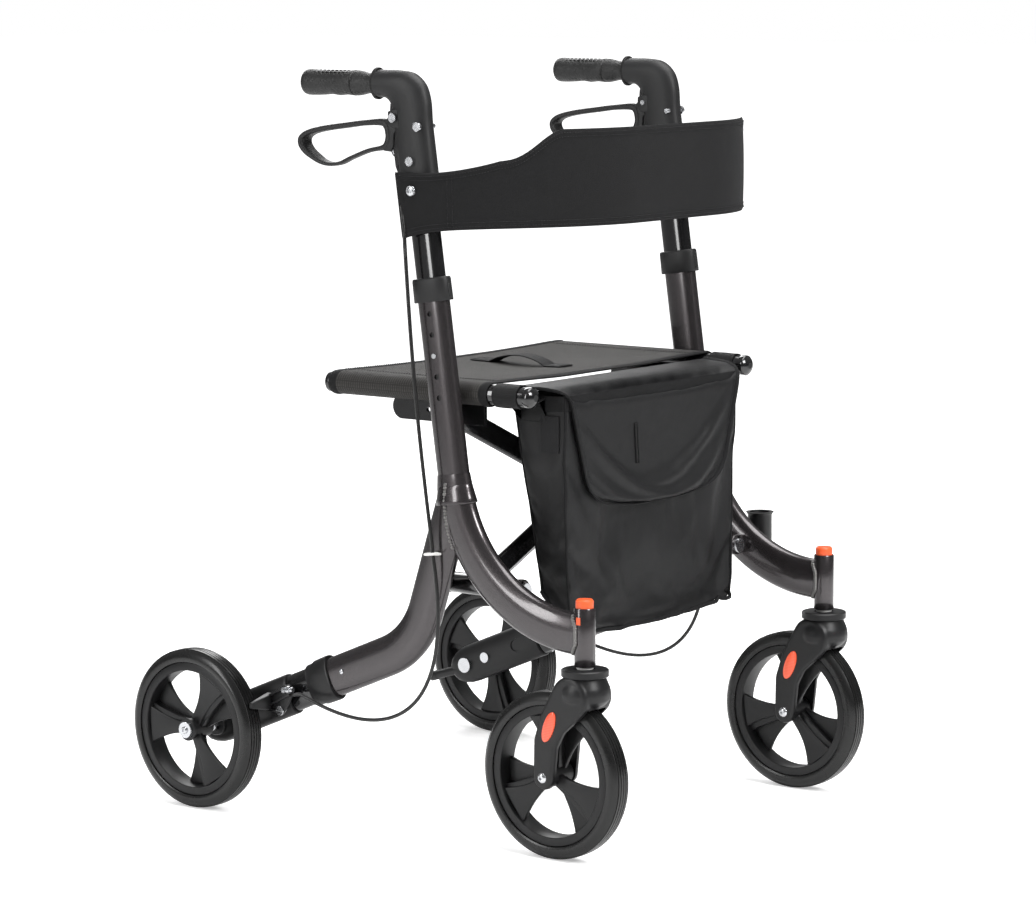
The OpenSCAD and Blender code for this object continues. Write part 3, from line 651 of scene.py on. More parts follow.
    # lever
    lp = [(-14, 857, 9, 14), (15, 856.5, 7, 13), (45, 853, 7, 14), (80, 848.5, 7, 18), (103, 843.5, 7, 21), (114, 837, 7.5, 22), (115, 829, 8, 22), (109, 821, 8, 21), (100, 815, 7.2, 20),
          (86, 808, 6, 17), (72, 805.5, 5, 15), (56, 807.5, 4.5, 13), (40, 814, 4.5, 12), (12, 823.5, 5, 12), (-12, 828, 6.5, 13), (-20, 835, 9, 14), (-21, 846, 9.5, 14)]
    lq = catmull_loop(lp, 5)
    rings = []
    n = len(lq)
    for i in range(n):
        t = lq[(i + 1) % n][:2] - lq[(i - 1) % n][:2]
        t = t / np.linalg.norm(t)
        dn = (-t[1], t[0])
        rings.append(section(lq[i][:2], dn, lq[i][2] / 2, lq[i][3] / 2, 3.2, 24))
    lb = f"{s}_brake_lever"
    piece(f"{s}_lever_loop", [loft(rings, closed=True)], "matte_plastic", lb, s, sharp=50, replaces=(lb,))
    piece(f"{s}_lever_root", [prism([(-46, 868), (-42, 873), (-33, 873), (-26, 868), (-20, 862), (-12, 860), (-14, 852), (-20, 846), (-19, 838), (-12, 830), (-14, 824), (-26, 823), (-30, 830), (-31, 845), (-42, 856)], -6.2, 6.2)],
          "matte_plastic", lb, s, bevel=1.3, seg=3)
    piece(f"{s}_lever_barrel", [rod((0, -22, 832), (0, -30, 819), 4.2, 24, 0.7), rod((0, -29, 821), (0, -33, 813), 3.0, 20, 0.5)], "dark_steel", lb, s)
    # ---- rear running gear
    d1 = np.array([SN, CS])

    def legsec(spec, e=2.35, n=44):
        return loft([section(leg(t), d1, b, r, e, n) for t, b, r in spec])

    piece(f"{s}_sleeve", [legsec([(165.5, 23.5, 11.6), (165.5, 25.2, 13), (166.6, 26, 13.8), (176, 26.4, 14.2), (180, 28.0, 15.4), (199, 28.6, 16), (202.4, 28.2, 15.7), (203.2, 27, 14.6), (203, 25, 13)])], "black_plastic", fb, s, sharp=45,
          replaces=(f"{s}_rear_sleeve",))
    piece(f"{s}_housing", [legsec([(-27.5, 6, 10.5), (-26.5, 12, 12.6), (-23, 17.5, 13.6), (-16, 21.6, 14), (-6, 24.6, 14), (4, 25.5, 14), (60, 25.5, 14), (126.8, 25.5, 14), (128.6, 25.0, 13.6), (129.2, 24, 12.6), (129.2, 22.4, 10.8)], 2.6)],
          "black_plastic", fb, s, sharp=45, replaces=(f"{s}_axle_housing",),
          cut=[loft([[(x, *(leg(97 + 12 * math.cos(a), 0 + 9.0 * math.sin(a)))) for a in [2 * math.pi * k / 32 for k in range(32)]] for x in (12.6, 20)])])
    piece(f"{s}_axle_boss", [lathe([(0, 15.4), (3, 15), (4.0, 14.2), (4.0, 9)], (-14, REAR_Y, WR), (-1, 0, 0), 40)], "black_plastic", fb, s)
    piece(f"{s}_kerb_peg", [rod((8, 275, 93), (8, 330.6, 76.4), 6, 28, 1.4), rod((8, 317, 80.4), (8, 331, 76.2), 6.5, 28, 1.8)], "black_plastic", fb, s)
    # brake arm: ribbed triangular plate, block on the tread side, barrel adjuster
    ab = f"{s}_brake_arm"
    tri = [tuple(leg(136, 12)), tuple(leg(146, 9)), tuple(leg(148, 0)), tuple(leg(140, -8)), tuple(leg(120, -22)), tuple(leg(112, -22)), tuple(leg(97, -10)), tuple(leg(94, 2)), tuple(leg(98, 7))]
    piece(f"{s}_brake_plate", [prism(tri, -22.6, -18.6)], "black_plastic", ab, s, bevel=0.9, seg=2, replaces=(ab,))
    ribs = []
    for a, b in ((leg(142, 9), leg(98, 5)), (leg(144, -2), leg(98, -6)), (leg(119, -18), leg(100, -8))):
        a, b = np.array(a), np.array(b)
        t = (b - a) / np.linalg.norm(b - a)
        nn = np.array([-t[1], t[0]]) * 1.3
        ribs.append(prism([tuple(a + nn), tuple(b + nn), tuple(b - nn), tuple(a - nn)], -27, -21))
    piece(f"{s}_brake_ribs", ribs, "black_plastic", ab, s, bevel=0.6)
    c0, c1 = leg(104, 8), leg(100, -8)
    yc = c1[0] + 1
    piece(f"{s}_brake_block", [([(-56, yc - 5, 136), (-19, yc - 9, 129), (-19, yc + 3, 129), (-56, yc, 136), (-56, yc - 5, 143), (-19, yc - 9, 151), (-19, yc + 3, 151), (-56, yc, 143)],
                                [(0, 3, 2, 1), (4, 5, 6, 7), (0, 1, 5, 4), (1, 2, 6, 5), (2, 3, 7, 6), (3, 0, 4, 7)])], "black_plastic", ab, s, bevel=1.5, seg=3)
    bc = leg(143, 4)
    piece(f"{s}_brake_barrel", [lathe([(-7, 2.6), (-7, 4.4), (-2, 4.4), (-1.6, 3.2), (0, 3.2), (0.4, 4.8), (4.6, 4.8), (5, 3.2), (9, 3.0), (9, 1.8)], (-24.8, bc[0], bc[1]), (0, -0.93, 0.12), 12)], "steel", ab, s, sharp=25)
    # cable ring on the rear leg
    piece(f"{s}_cable_ring", [lathe([(0, 3.2), (0, 8.6), (0.7, 9.4), (1.9, 9.4), (2.6, 8.6), (2.6, 3.2)], (-24, -98, 348), (0, 0.10, 1), 32)], "white_plastic", fb, s)
    piece(f"{s}_cable_ring_arm", [([(-19, -101, 346.6), (-8, -104, 346.6), (-8, -92, 346.6), (-19, -95, 346.6), (-19, -101, 349.6), (-8, -104, 349.6), (-8, -92, 349.6), (-19, -95, 349.6)],
                                   [(0, 3, 2, 1), (4, 5, 6, 7), (0, 1, 5, 4), (1, 2, 6, 5), (2, 3, 7, 6), (3, 0, 4, 7)])], "white_plastic", fb, s, bevel=0.5)

    # ---- cable
    def cable_p(t):
        if t < 0.5:
            q = t * 2
            return (-21 - 2 * math.sin(math.pi * q), -59 - 39 * q + 3 * math.sin(math.pi * q), 716 - 367 * q)
        q = t * 2 - 1
        w = 1 - q
        return (-22 - 2 * math.sin(math.pi * q), w ** 3 * -98 + 3 * w * w * q * -138 + 3 * w * q * q * -30 + q ** 3 * 116,
                w ** 3 * 349 + 3 * w * w * q * 152 + 3 * w * q * q * 104 + q ** 3 * 155)

    cp = [cable_p(k / 110) for k in range(111)]
    cp = cp[:-1] + [(-22.5, 116, 155), (-24, 124, 153.6), (-24.8, 129, 153)]
    piece(f"{s}_cable", [sweep(cp, 2.3, 12)], "cable", fb, s, sharp=None, replaces=(f"{s}_brake_cable",))
    piece(f"{s}_cable_upper", [sweep([(-21.3, -60.3, 700), (-21, -59, 718), (-20.4, -58, 730), (-18, -52, 760), (-12, -44, 785), (-4, -38, 803), (0, -34, 812)], 2.3, 12)], "cable", hb, s, sharp=None)


# ------------------------------------------------------------------ wheels
def blade_w(r):
    return 7.5 + 17 * ((r - 12) / 64) ** 2


def blade(r0, r1, k=1.0, n=16):
    a, b = [], []
    for i in range(n + 1):
        r = r0 + (r1 - r0) * i / n
        w = blade_w(r) * k
        x = math.sqrt(max(0, r * r - w * w))
        a.append((x, w))
        b.append((x, -w))
    return a + b[::-1]


def wheel(name, centre_local, s, body_name, rim_node, tyre_node, hub_half, phase):
    cx, cy, cz = centre_local
    T = 15.0
    prof = [(-T + 3.0, 84), (-T + 0.9, 84.4), (-T, 86), (-T, 90), (-T + 0.7, 93.2), (-T + 2.6, 96.4), (-T + 5.4, 98.8), (-9.5, 99.5), (-9.2, 98.5), (-8.4, 98.5), (-8.1, 99.75)]
    prof += [(-5.2, 99.95), (-4.9, 98.9), (-4.1, 98.9), (-3.8, 100), (-0.6, 100), (-0.4, 98.9)]
    prof = prof + [(-t, r) for t, r in prof[::-1]]
    prof += [(T - 3.4, 83.4), (-T + 3.4, 83.4)]
    piece(f"{name}_tyre_tread", [lathe(prof, (cx, cy, cz), (1, 0, 0), 128, closed=True)], "tyre", body_name, s, sharp=35, replaces=(tyre_node,))
    ring = [(-12.6, 73.4), (-13.4, 74.2), (-13.4, 82.6), (-12.9, 83.4), (12.9, 83.4), (13.4, 82.6), (13.4, 74.2), (12.6, 73.4), (8, 72.6), (0, 72.2), (-8, 72.6)]
    hub = [(-hub_half + 1.0, 12.0), (-hub_half, 11.2), (-hub_half, 7), (hub_half, 7), (hub_half, 12.2), (hub_half - 1, 13), (0, 13.6), (-hub_half + 3, 12.6)]
    ringp = lathe(ring, (cx, cy, cz), (1, 0, 0), 128, closed=True)
    hubp = lathe(hub, (cx, cy, cz), (1, 0, 0), 48, closed=True)
    piece(f"{name}_rim_ring", [ringp, hubp], "rim", body_name, s, sharp=35, replaces=(rim_node,))
    blades, webs = [], []
    for k in range(3):
        for a0, x0, x1, bb in ((90 + phase + 120 * k, -9.5, -3, 1.0), (120 + phase + 120 * k, 3, 9.5, 0.9)):
            a = math.radians(a0)
            poly = blade(9, 76, bb)
            py = [(cy + x * math.cos(a) - w * math.sin(a), cz + x * math.sin(a) + w * math.cos(a)) for x, w in poly]
            v, f = prism(py, cx + x0, cx + x1)
            # dish: the outer face sinks between hub and rim
            vv = []
            for (x, y, z) in v:
                r = math.hypot(y - cy, z - cz)
                t = max(0.0, min(1.0, (r - 16) / 56))
                sink = 2.4 * math.sin(math.pi * t) ** 1.0
                vv.append((x + (sink if x < cx - 8 else (-sink if x > cx + 8 else 0)), y, z))
            blades.append((vv, f))
        a = math.radians(105 + phase + 120 * k)
        poly = [(10, -7.5), (30, -6), (60, -7), (75, -9), (75, 9), (60, 7), (30, 6), (10, 7.5)]
        py = [(cy + x * math.cos(a) - w * math.sin(a), cz + x * math.sin(a) + w * math.cos(a)) for x, w in poly]
        webs.append(prism(py, cx - 6, cx + 5))
    piece(f"{name}_rim_blades", blades, "rim", body_name, s, bevel=1.5, seg=3, angle=25, sharp=30)
    piece(f"{name}_rim_webs", webs, "rim", body_name, s, bevel=1.0, seg=2)


for s in SIDES:
    wheel(f"{s}_rear", (-49.0, REAR_Y, WR), s, f"{s}_rear_wheel", f"{s}_rear_rim", f"{s}_rear_tyre", 17, 28)
    wheel(f"{s}_front", (0.0, FRONT_Y, WR), s, f"{s}_front_wheel", f"{s}_front_rim", f"{s}_front_tyre", 18.5, -7)
    # hub caps and bolt heads
    piece(f"{s}_rear_axle_head", [lathe([(0, 9.6), (2.4, 9.6), (3.6, 8.6), (3.6, 5.4), (2.6, 5.0), (2.6, 4.6), (7.2, 4.4), (8.6, 3.4), (8.8, 1.6), (7.4, 1.4)], (-66.3, REAR_Y, WR), (-1, 0, 0), 36)], "steel", f"{s}_frame", s, sharp=30)
    piece(f"{s}_rear_hub_collar", [lathe([(0, 14.2), (1.8, 14.2), (2.6, 13.2), (2.6, 10.2)], (-65.4, REAR_Y, WR), (-1, 0, 0), 36)], "black_plastic", f"{s}_rear_wheel", s)

# ------------------------------------------------------------------ caster forks
FO, FI = 27.3, 19.0


def slug(p, r1, q, r2, n=20):
    p, q = np.array(p, float), np.array(q, float)
    d = np.linalg.norm(q - p)
    a = math.atan2(q[1] - p[1], q[0] - p[0])
    b = math.acos((r1 - r2) / d)
    out = []
    for k in range(n + 1):
        t = a + b + (2 * math.pi - 2 * b) * k / n
        out.append((p[0] + r1 * math.cos(t), p[1] + r1 * math.sin(t)))
    for k in range(n + 1):
        t = a - b + 2 * b * k / n
        out.append((q[0] + r2 * math.cos(t), q[1] + r2 * math.sin(t)))
    return out


def fork(s):
    arm1 = slug((STEM_Y + 5, 198), 26, (FRONT_Y - 14, 167), 19)
    arm2 = slug((FRONT_Y - 14, 167), 19, (FRONT_Y - 3, 142), 16.5)
    arm3 = slug((FRONT_Y - 3, 142), 16.5, (FRONT_Y, WR), 14.6)
    parts = [prism(arm1, -FO + 0.6, FO - 0.6), prism(arm2, -FO + 0.6, FO - 0.6), prism(arm3, -FO + 0.6, FO - 0.6)]
    o = raw(f"{s}_fork_body", parts[:1], "black_plastic", s)
    o2 = raw("tmp_arm", parts[1:], "black_plastic", s)
    crown = raw("tmp_crown", [lathe([(0, 17), (3, 24), (9, 29.2), (16, 30.4), (23, 29.4), (30, 26.6), (34, 25), (37, 24.6)], (0, STEM_Y, 186), (0, 0, 1), 48)], "black_plastic", s)
    for ob, bv in ((o, 4.5), (o2, 4.5), (crown, 0)):
        if bv:
            m = ob.modifiers.new("v", "BEVEL")
            m.width = bv * 0.001
            m.segments = 3
            m.limit_method = "ANGLE"
            m.angle_limit = math.radians(60)
            apply_mods(ob)
    with bpy.context.temp_override(active_object=o, selected_editable_objects=[o, o2, crown], selected_objects=[o, o2, crown], object=o):
        bpy.ops.object.join()
    m = o.modifiers.new("r", "REMESH")
    m.mode = "VOXEL"
    m.voxel_size = 0.0013
    m = o.modifiers.new("s", "SMOOTH")
    m.factor = 0.5
    m.iterations = 9
    apply_mods(o)
    cx = -FX if s == R else FX

    def cutter(parts, bev=0.0):
        c = raw("tmp_cut", parts, "black_plastic")
        if bev:
            m = c.modifiers.new("v", "BEVEL")
            m.width = bev * 0.001
            m.segments = 3
            m.limit_method = "ANGLE"
            m.angle_limit = math.radians(40)
            apply_mods(c)
        m = o.modifiers.new("b", "BOOLEAN")
        m.operation = "DIFFERENCE"
        m.object = c
        m.solver = "EXACT"
        apply_mods(o)
        bpy.data.objects.remove(c)

    arch = [(FRONT_Y + 104.5 * math.cos(t), WR + 104.5 * math.sin(t)) for t in [2 * math.pi * k / 96 for k in range(96)]]
    cutter([prism(arch, cx - FI, cx + FI)], 3.0)
    cutter([rod((cx - 40, FRONT_Y, WR), (cx + 40, FRONT_Y, WR), 4.3, 24, 0), rod((cx - 40, FRONT_Y, WR), (cx - FO + 2.2, FRONT_Y, WR), 8.3, 32, 0), rod((cx + FO - 2.2, FRONT_Y, WR), (cx + 40, FRONT_Y, WR), 8.3, 32, 0)])
    shade(o, 38)
    o.name = f"{s}_fork_body"
    if len(o.data.materials) > 1:
        while len(o.data.materials) > 1:
            o.data.materials.pop()
    finish_piece(o, f"{s}_caster", (f"{s}_caster_fork",))
    piece(f"{s}_fork_collar", [lathe([(0, 25), (0, 27.2), (0.8, 28), (7.6, 28), (8.6, 27), (9.0, 25.6), (9.0, 12), (7, 11.6), (7, 6)], (0, STEM_Y, 222), (0, 0, 1), 56)], "black_plastic", f"{s}_caster", s, sharp=35)
    for sx in (-1, 1):
        pts = [(FRONT_Y - 11 - 19.4 * math.cos(t) * math.cos(math.radians(69)) + 7.8 * math.sin(t) * math.sin(math.radians(69)),
                162 + 19.4 * math.cos(t) * math.sin(math.radians(69)) + 7.8 * math.sin(t) * math.cos(math.radians(69))) for t in [2 * math.pi * k / 40 for k in range(40)]]
        x0 = sx * (FO + 0.9)
        piece(f"{s}_reflector_{'out' if sx < 0 else 'in'}", [prism(pts, min(x0, x0 - sx * 3), max(x0, x0 - sx * 3))], "reflector", f"{s}_caster", s, bevel=0.7, seg=2)
        # axle screw heads in their counterbores
        piece(f"{s}_fork_screw_{'out' if sx < 0 else 'in'}", [screw_head((sx * (FO - 2.4), FRONT_Y, WR), (sx, 0, 0), 6.2, 4.2)], "steel", f"{s}_caster", s, sharp=30)


for s in SIDES:
    fork(s)
    # the CAD discs stand for the reflector lenses
    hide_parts(f"{s}_reflectors")
    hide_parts(f"{s}_front_axle")
    piece(f"{s}_fork_axle", [rod((-FO + 1, FRONT_Y, WR), (FO - 1, FRONT_Y, WR), 4, 20, 0.2)], "dark_steel", f"{s}_caster", s)

# ------------------------------------------------------------------ seat
SAG = 6.0


def seat_top(x, y):
    """Top surface of the seat sheet between the tubes."""
    t = max(0.0, 1 - (x / SEAT_X) ** 2)
    edge = 0.5 + 0.5 * math.cos(math.pi * min(1.0, max(0.0, abs(y + 27) / 123)))
    wav = 0.9 * noise.noise(Vector((x * 0.012, y * 0.016, 3.1))) * t
    return SEAT_Z + SEAT_R + 1.2 - SAG * t * (0.55 + 0.45 * edge) + wav


def seat_profile(y, lift=0.0):
    """Half profile in x, z from the centre out and round the tube (positive x)."""
    pts = []
    for k in range(25):
        x = (SEAT_X - 2) * k / 24
        pts.append((x, seat_top(x, y) + lift))
    rr = SEAT_R + 1.3 + lift
    for k in range(1, 15):
        a = math.pi / 2 - (math.pi * 1.12) * k / 14
        pts.append((SEAT_X + rr * math.cos(a), SEAT_Z + rr * math.sin(a)))
    lx, lz = pts[-1]
    for k in range(1, 5):
        pts.append((lx - 6.0 * k, lz + 0.6 * k + (0 if lift >= 0 else 0)))
    return pts


def seat_sheet(name, y0, y1, ny, thick, lift, mat, hem=True):
    rings = []
    for j in range(ny + 1):
        y = y0 + (y1 - y0) * j / ny
        e = min(1.0, min(j, ny - j) / 1.5)
        half = seat_profile(y, lift)
        full = [(-x, z) for x, z in half[::-1]] + half[1:]
        n = len(full)
        up, dn = [], []
        for i, (x, z) in enumerate(full):
            a = full[max(0, i - 1)]
            b = full[min(n - 1, i + 1)]
            t = np.array([b[0] - a[0], b[1] - a[1]])
            t = t / np.linalg.norm(t)
            nn = np.array([-t[1], t[0]])
            th = thick / 2 * (0.35 + 0.65 * e)
            up.append((x + nn[0] * th, y, z + nn[1] * th))
            dn.append((x - nn[0] * th, y, z - nn[1] * th))
        rings.append(up + dn[::-1])
    return loft(rings)


seat = piece("seat_sheet", [seat_sheet("seat_sheet", -150, 95, 40, 2.0, 0, "seat_cloth")], "seat_cloth", None, sharp=60)
hem_parts = []
for y0, y1 in ((-151.2, -139.0), (84.0, 96.2)):
    hem_parts.append(seat_sheet("h", y0, y1, 6, 3.4, 0.25, "binding"))
hems = piece("seat_hems", hem_parts, "binding", None, sharp=60)
st = []
for y in (-141.2, -146.5, 86.2, 91.6):
    st += stitches([(x, y, seat_top(x, y) + 2.15) for x in np.linspace(-205, 205, 120)], 4.2, 2.8, 0.4)
for x in (-196, 196, -190, 190):
    st += stitches([(x, y, seat_top(x, y) + 1.25) for y in np.linspace(-136, 82, 80)], 4.2, 2.8, 0.4)
seat_st = piece("seat_stitching", st, "thread", None, sharp=None)
# pull strap: webbing bowed up between two stitched ends
ps = []
for k in range(41):
    t = k / 40
    y = -92 + 144 * t
    lift_ = 11.5 * max(0.0, math.sin(math.pi * min(1, max(0, (t - 0.2) / 0.6)))) ** 0.8
    ps.append((4.0 * math.sin(3 * t), y, seat_top(0, y) + 2.4 + lift_))
rings = []
for i, p in enumerate(ps):
    a, b = np.array(ps[max(0, i - 1)]), np.array(ps[min(40, i + 1)])
    t = (b - a) / np.linalg.norm(b - a)
    up = np.cross([1, 0, 0], t)
    w = 12.5
    ring = []
    for q in range(20):
        an = 2 * math.pi * q / 20
        ring.append(tuple(np.array(p) + np.array([1, 0, 0]) * w * sup(math.cos(an), 5) + up * 1.1 * sup(math.sin(an), 3)))
    rings.append(ring)
pull = piece("seat_pull_webbing", [loft(rings)], "webbing", None, sharp=50)
box = []
for y0, y1 in ((-90, -66), (26, 50)):
    loop = [(-9.5, y0), (9.5, y0), (9.5, y1), (-9.5, y1), (-9.5, y0), (9.5, y1)]
    pts = []
    for (xa, ya), (xb, yb) in zip(loop[:-1], loop[1:]):
        for q in range(10):
            x, y = xa + (xb - xa) * q / 10, ya + (yb - ya) * q / 10
            t = (y + 92) / 144
            lift_ = 11.5 * max(0.0, math.sin(math.pi * min(1, max(0, (t - 0.2) / 0.6)))) ** 0.8
            pts.append((x + 4 * math.sin(3 * t), y, seat_top(0, y) + 3.65 + lift_))
    box += stitches(pts, 3.2, 2.2, 0.4)
pull_st = piece("seat_pull_stitching", box, "thread", None, sharp=None)
for o, rep in ((seat, ("seat_fabric",)), (hems, ()), (seat_st, ()), (pull, ("seat_pull_strap",)), (pull_st, ())):
    if rep:
        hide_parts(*rep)
    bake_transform(o)

# ------------------------------------------------------------------ backrest strap
W_, D_, C_ = 266.0, 264.0, 190.0


def strap_plan():
    """Centre line in plan from the right rear end round the front to the left rear end."""
    half = [(-W_ + 2.2, -42 - (D_ - C_ - 42) * k / 7) for k in range(7)]
    for k in range(47):
        a = math.pi + (math.pi / 2) * k / 46
        half.append((-W_ + C_ + (C_ - 2.2) * math.cos(a), -(D_ - C_) + (C_ - 2.2) * math.sin(a)))
    for k in range(1, 10):
        half.append((-(W_ - C_) + (W_ - C_) * k / 10, -D_ + 2.2))
    return half + [(0, -D_ + 2.2)] + [(-x, y) for x, y in half[::-1]]


def strap_edges(x, y):
    ax = abs(x)
    zb = 722 + 16 * (1 - math.exp(-max(0.0, -y - 45) / 60))
    if ax >= 232:
        zt = 816 - 18 * min(1, (ax - 232) / 36)
    elif ax <= 178:
        zt = 852
    else:
        t = (232 - ax) / 54
        zt = 816 + 18 * (1 - math.cos(math.pi * t))
    return zb, zt


plan = strap_plan()
npl = len(plan)
NH = 26
rings = []
outer_line = {"top": [], "top2": [], "bot": [], "bot2": [], "seam_r": [], "seam_l": []}
surf = []
for i, (x, y) in enumerate(plan):
    a, b = np.array(plan[max(0, i - 1)]), np.array(plan[min(npl - 1, i + 1)])
    t = (b - a) / np.linalg.norm(b - a)
    nx, ny = t[1], -t[0]
    if nx * x + ny * (y + 60) < 0:
        nx, ny = -nx, -ny
    zb, zt = strap_edges(x, y)
    outer, inner = [], []
    for j in range(NH + 1):
        h = j / NH
        z = zb + (zt - zb) * h
        # slanted rear end follows the lean of the post
        yy = y
        if abs(x) > W_ - 9 and y > -118:
            f = (y + 118) / 76.0
            yrear = -117 + 0.1365 * (z - 418) + 22
            yy = -118 + f * (yrear + 118)
        edge = min(z - zb, zt - z)
        hemmed = 0.75 if edge < 8.5 else 0.0
        r_edge = min(1.0, edge / 1.6)
        end = min(i, npl - 1 - i)
        hemmed = 0.75 if (end < 2) else hemmed
        th = (1.5 + hemmed) * (0.30 + 0.70 * math.sqrt(r_edge)) * (0.45 if end == 0 else 1)
        wob = 0.9 * noise.noise(Vector((x * 0.012, y * 0.012, z * 0.01)))
        bow = 1.4 * math.sin(math.pi * h) if abs(x) < 200 else 0.4
        off = wob + bow - 1.2
        if abs(x) > W_ - 30 and y > -100:
            off = 0.2
        outer.append((x + nx * (off + th), yy + ny * (off + th), z))
        inner.append((x + nx * (off - th), yy + ny * (off - th), z))
    surf.append((outer, (nx, ny)))
    rings.append(outer + inner[::-1])
strap = piece("backrest_band", [loft(rings)], "strap_cloth", None, sharp=60)


def strap_line(zfun, i0=0, i1=None, lift=0.35):
    out = []
    for i in range(i0, (i1 or npl)):
        o_, (nx, ny) = surf[i]
        z = zfun(i)
        zs = [p[2] for p in o_]
        out.append((float(np.interp(z, zs, [p[0] for p in o_])) + nx * lift, float(np.interp(z, zs, [p[1] for p in o_])) + ny * lift, z))
    return out


st = []
st += stitches(strap_line(lambda i: surf[i][0][-1][2] - 8.6), 3.4, 2.3, 0.4)
st += stitches(strap_line(lambda i: surf[i][0][0][2] + 8.6), 3.4, 2.3, 0.4)
st += stitches(strap_line(lambda i: surf[i][0][-1][2] - 4.0), 3.4, 2.3, 0.4)
st += stitches(strap_line(lambda i: surf[i][0][0][2] + 4.0), 3.4, 2.3, 0.4)
for sx in (-1, 1):
    for yy in (-127, -121):
        i = min(range(npl), key=lambda k: abs(plan[k][1] - yy) + (0 if plan[k][0] * sx > 0 else 1e3))
        o_, (nx, ny) = surf[i]
        st += stitches([(p[0] + nx * 0.3, p[1] + ny * 0.3, p[2]) for p in o_[2:-2]], 3.2, 2.2, 0.45)
strap_st = piece("backrest_stitching", st, "thread", None, sharp=None)
for sx in (-1, 1):
    o = piece(f"backrest_bolt_{'right' if sx < 0 else 'left'}", [screw_head((sx * 265.6, -70, 779), (sx, 0, 0), 6.2, 5.0)], "steel", None, sharp=30)
    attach(o, "right_handle" if sx < 0 else "left_handle")
for o, rep in ((strap, ("backrest_strap",)), (strap_st, ())):
    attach(o, "right_handle")
    if rep:
        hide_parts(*rep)
    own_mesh(o)

# ------------------------------------------------------------------ bag
HW = 174.0
NV = 34


def bag_ring(v):
    """One rounded rectangular ring of the bag at height share v."""
    hw = HW - 7 * (1 - v) ** 1.5
    yf = -226 + 3.0 * math.sin(math.pi * v)
    yr = -180 + 34 * v
    pts = []
    nf, ns = 44, 9
    c = 5.0
    seq = []
    for k in range(nf + 1):
        seq.append((-hw + c + 2 * (hw - c) * k / nf, yf, "f"))
    seq.append((hw - c * 0.3, yf + c * 0.3, "c"))
    for k in range(ns + 1):
        seq.append((hw, yf + c + (yr - yf - 2 * c) * k / ns, "r"))
    seq.append((hw - c * 0.3, yr - c * 0.3, "c"))
    for k in range(nf + 1):
        seq.append((hw - c - 2 * (hw - c) * k / nf, yr, "b"))
    seq.append((-hw + c * 0.3, yr - c * 0.3, "c"))
    for k in range(ns + 1):
        seq.append((-hw, yr - c - (yr - yf - 2 * c) * k / ns, "l"))
    seq.append((-hw + c * 0.3, yf + c * 0.3, "c"))
    for x, y, tag in seq:
        f = (y - yf) / (yr - yf)
        zlo = 250 + 50 * f - 4 * math.cos(math.pi * x / (2 * hw))
        zhi = 535 - 3 * f
        pts.append((x, y, zlo + (zhi - zlo) * v, tag))
    return pts


rings_t = [bag_ring(v) for v in np.linspace(0, 1, NV + 1)]
mring = len(rings_t[0])
bottom = []
for q in (0.35, 0.7, 0.93):
    ring = []
    for (x, y, z, tag) in rings_t[0]:
        yc_ = -203
        ring.append((x * (1 - q * 0.10), yc_ + (y - yc_) * (1 - q), z + 2.0 * q, "m"))
    bottom.append(ring)
allr = bottom[::-1] + rings_t
verts = [p[:3] for ring in allr for p in ring]
_, faces = loft([[p[:3] for p in ring] for ring in allr], cap=False)
faces.append(tuple(range(mring))[::-1])
bag = raw("bag_body", [(verts, faces)], "bag_cloth")
bagn = len(verts)
idx = {"fl": [], "fr": [], "bot": [], "bl": [], "br": [], "top": []}
for ri, ring in enumerate(rings_t):
    base = (len(bottom) + ri) * mring
    tags = [p[3] for p in ring]
    fr_first, fr_last = 0, 44
    idx["fl"].append(base + mring - 1)
    idx["fr"].append(base + 45)
    idx["br"].append(base + 45 + 1 + 10)
    idx["bl"].append(base + 45 + 1 + 10 + 1 + 45)
idx["bot"] = [len(bottom) * mring + k for k in range(mring)]
idx["top"] = [(len(allr) - 1) * mring + k for k in range(mring)]


def cloth(o, pins, frames=22, shrink=-0.02, bend=0.5, pressure=0.0, grav=1.0):
    vg = o.vertex_groups.new(name="pin")
    for i, w in pins.items():
        if w > 0:
            vg.add([i], w, "REPLACE")
    m = o.modifiers.new("cloth", "CLOTH")
    cs = m.settings
    cs.quality = 7
    cs.mass = 0.25
    cs.tension_stiffness = 30
    cs.compression_stiffness = 30
    cs.shear_stiffness = 12
    cs.bending_stiffness = bend
    cs.tension_damping = 20
    cs.compression_damping = 20
    cs.shear_damping = 15
    cs.bending_damping = 2
    cs.air_damping = 4
    cs.vertex_group_mass = "pin"
    cs.pin_stiffness = 1.0
    cs.shrink_min = shrink
    cs.shrink_max = shrink
    cs.effector_weights.gravity = grav
    if pressure:
        cs.use_pressure = True
        cs.uniform_pressure_force = pressure
    m.collision_settings.use_collision = False
    m.point_cache.frame_start = 1
    m.point_cache.frame_end = frames
    SCN.frame_start, SCN.frame_end = 1, frames
    for f in range(1, frames + 1):
        SCN.frame_set(f)
    apply_mods(o)
    SCN.frame_set(1)


def fold_relief(x, z, folds):
    """Height in mm of a set of diagonal creases; each is x, z, angle, half length, width, height."""
    h = 0.0
    for x0, z0, ang, half, width, amp in folds:
        a = math.radians(ang)
        u = (x - x0) * math.cos(a) + (z - z0) * math.sin(a)
        d = -(x - x0) * math.sin(a) + (z - z0) * math.cos(a)
        h += amp * math.exp(-abs(d) / width) * max(0.0, 1 - (u / half) ** 2) ** 2
    return h


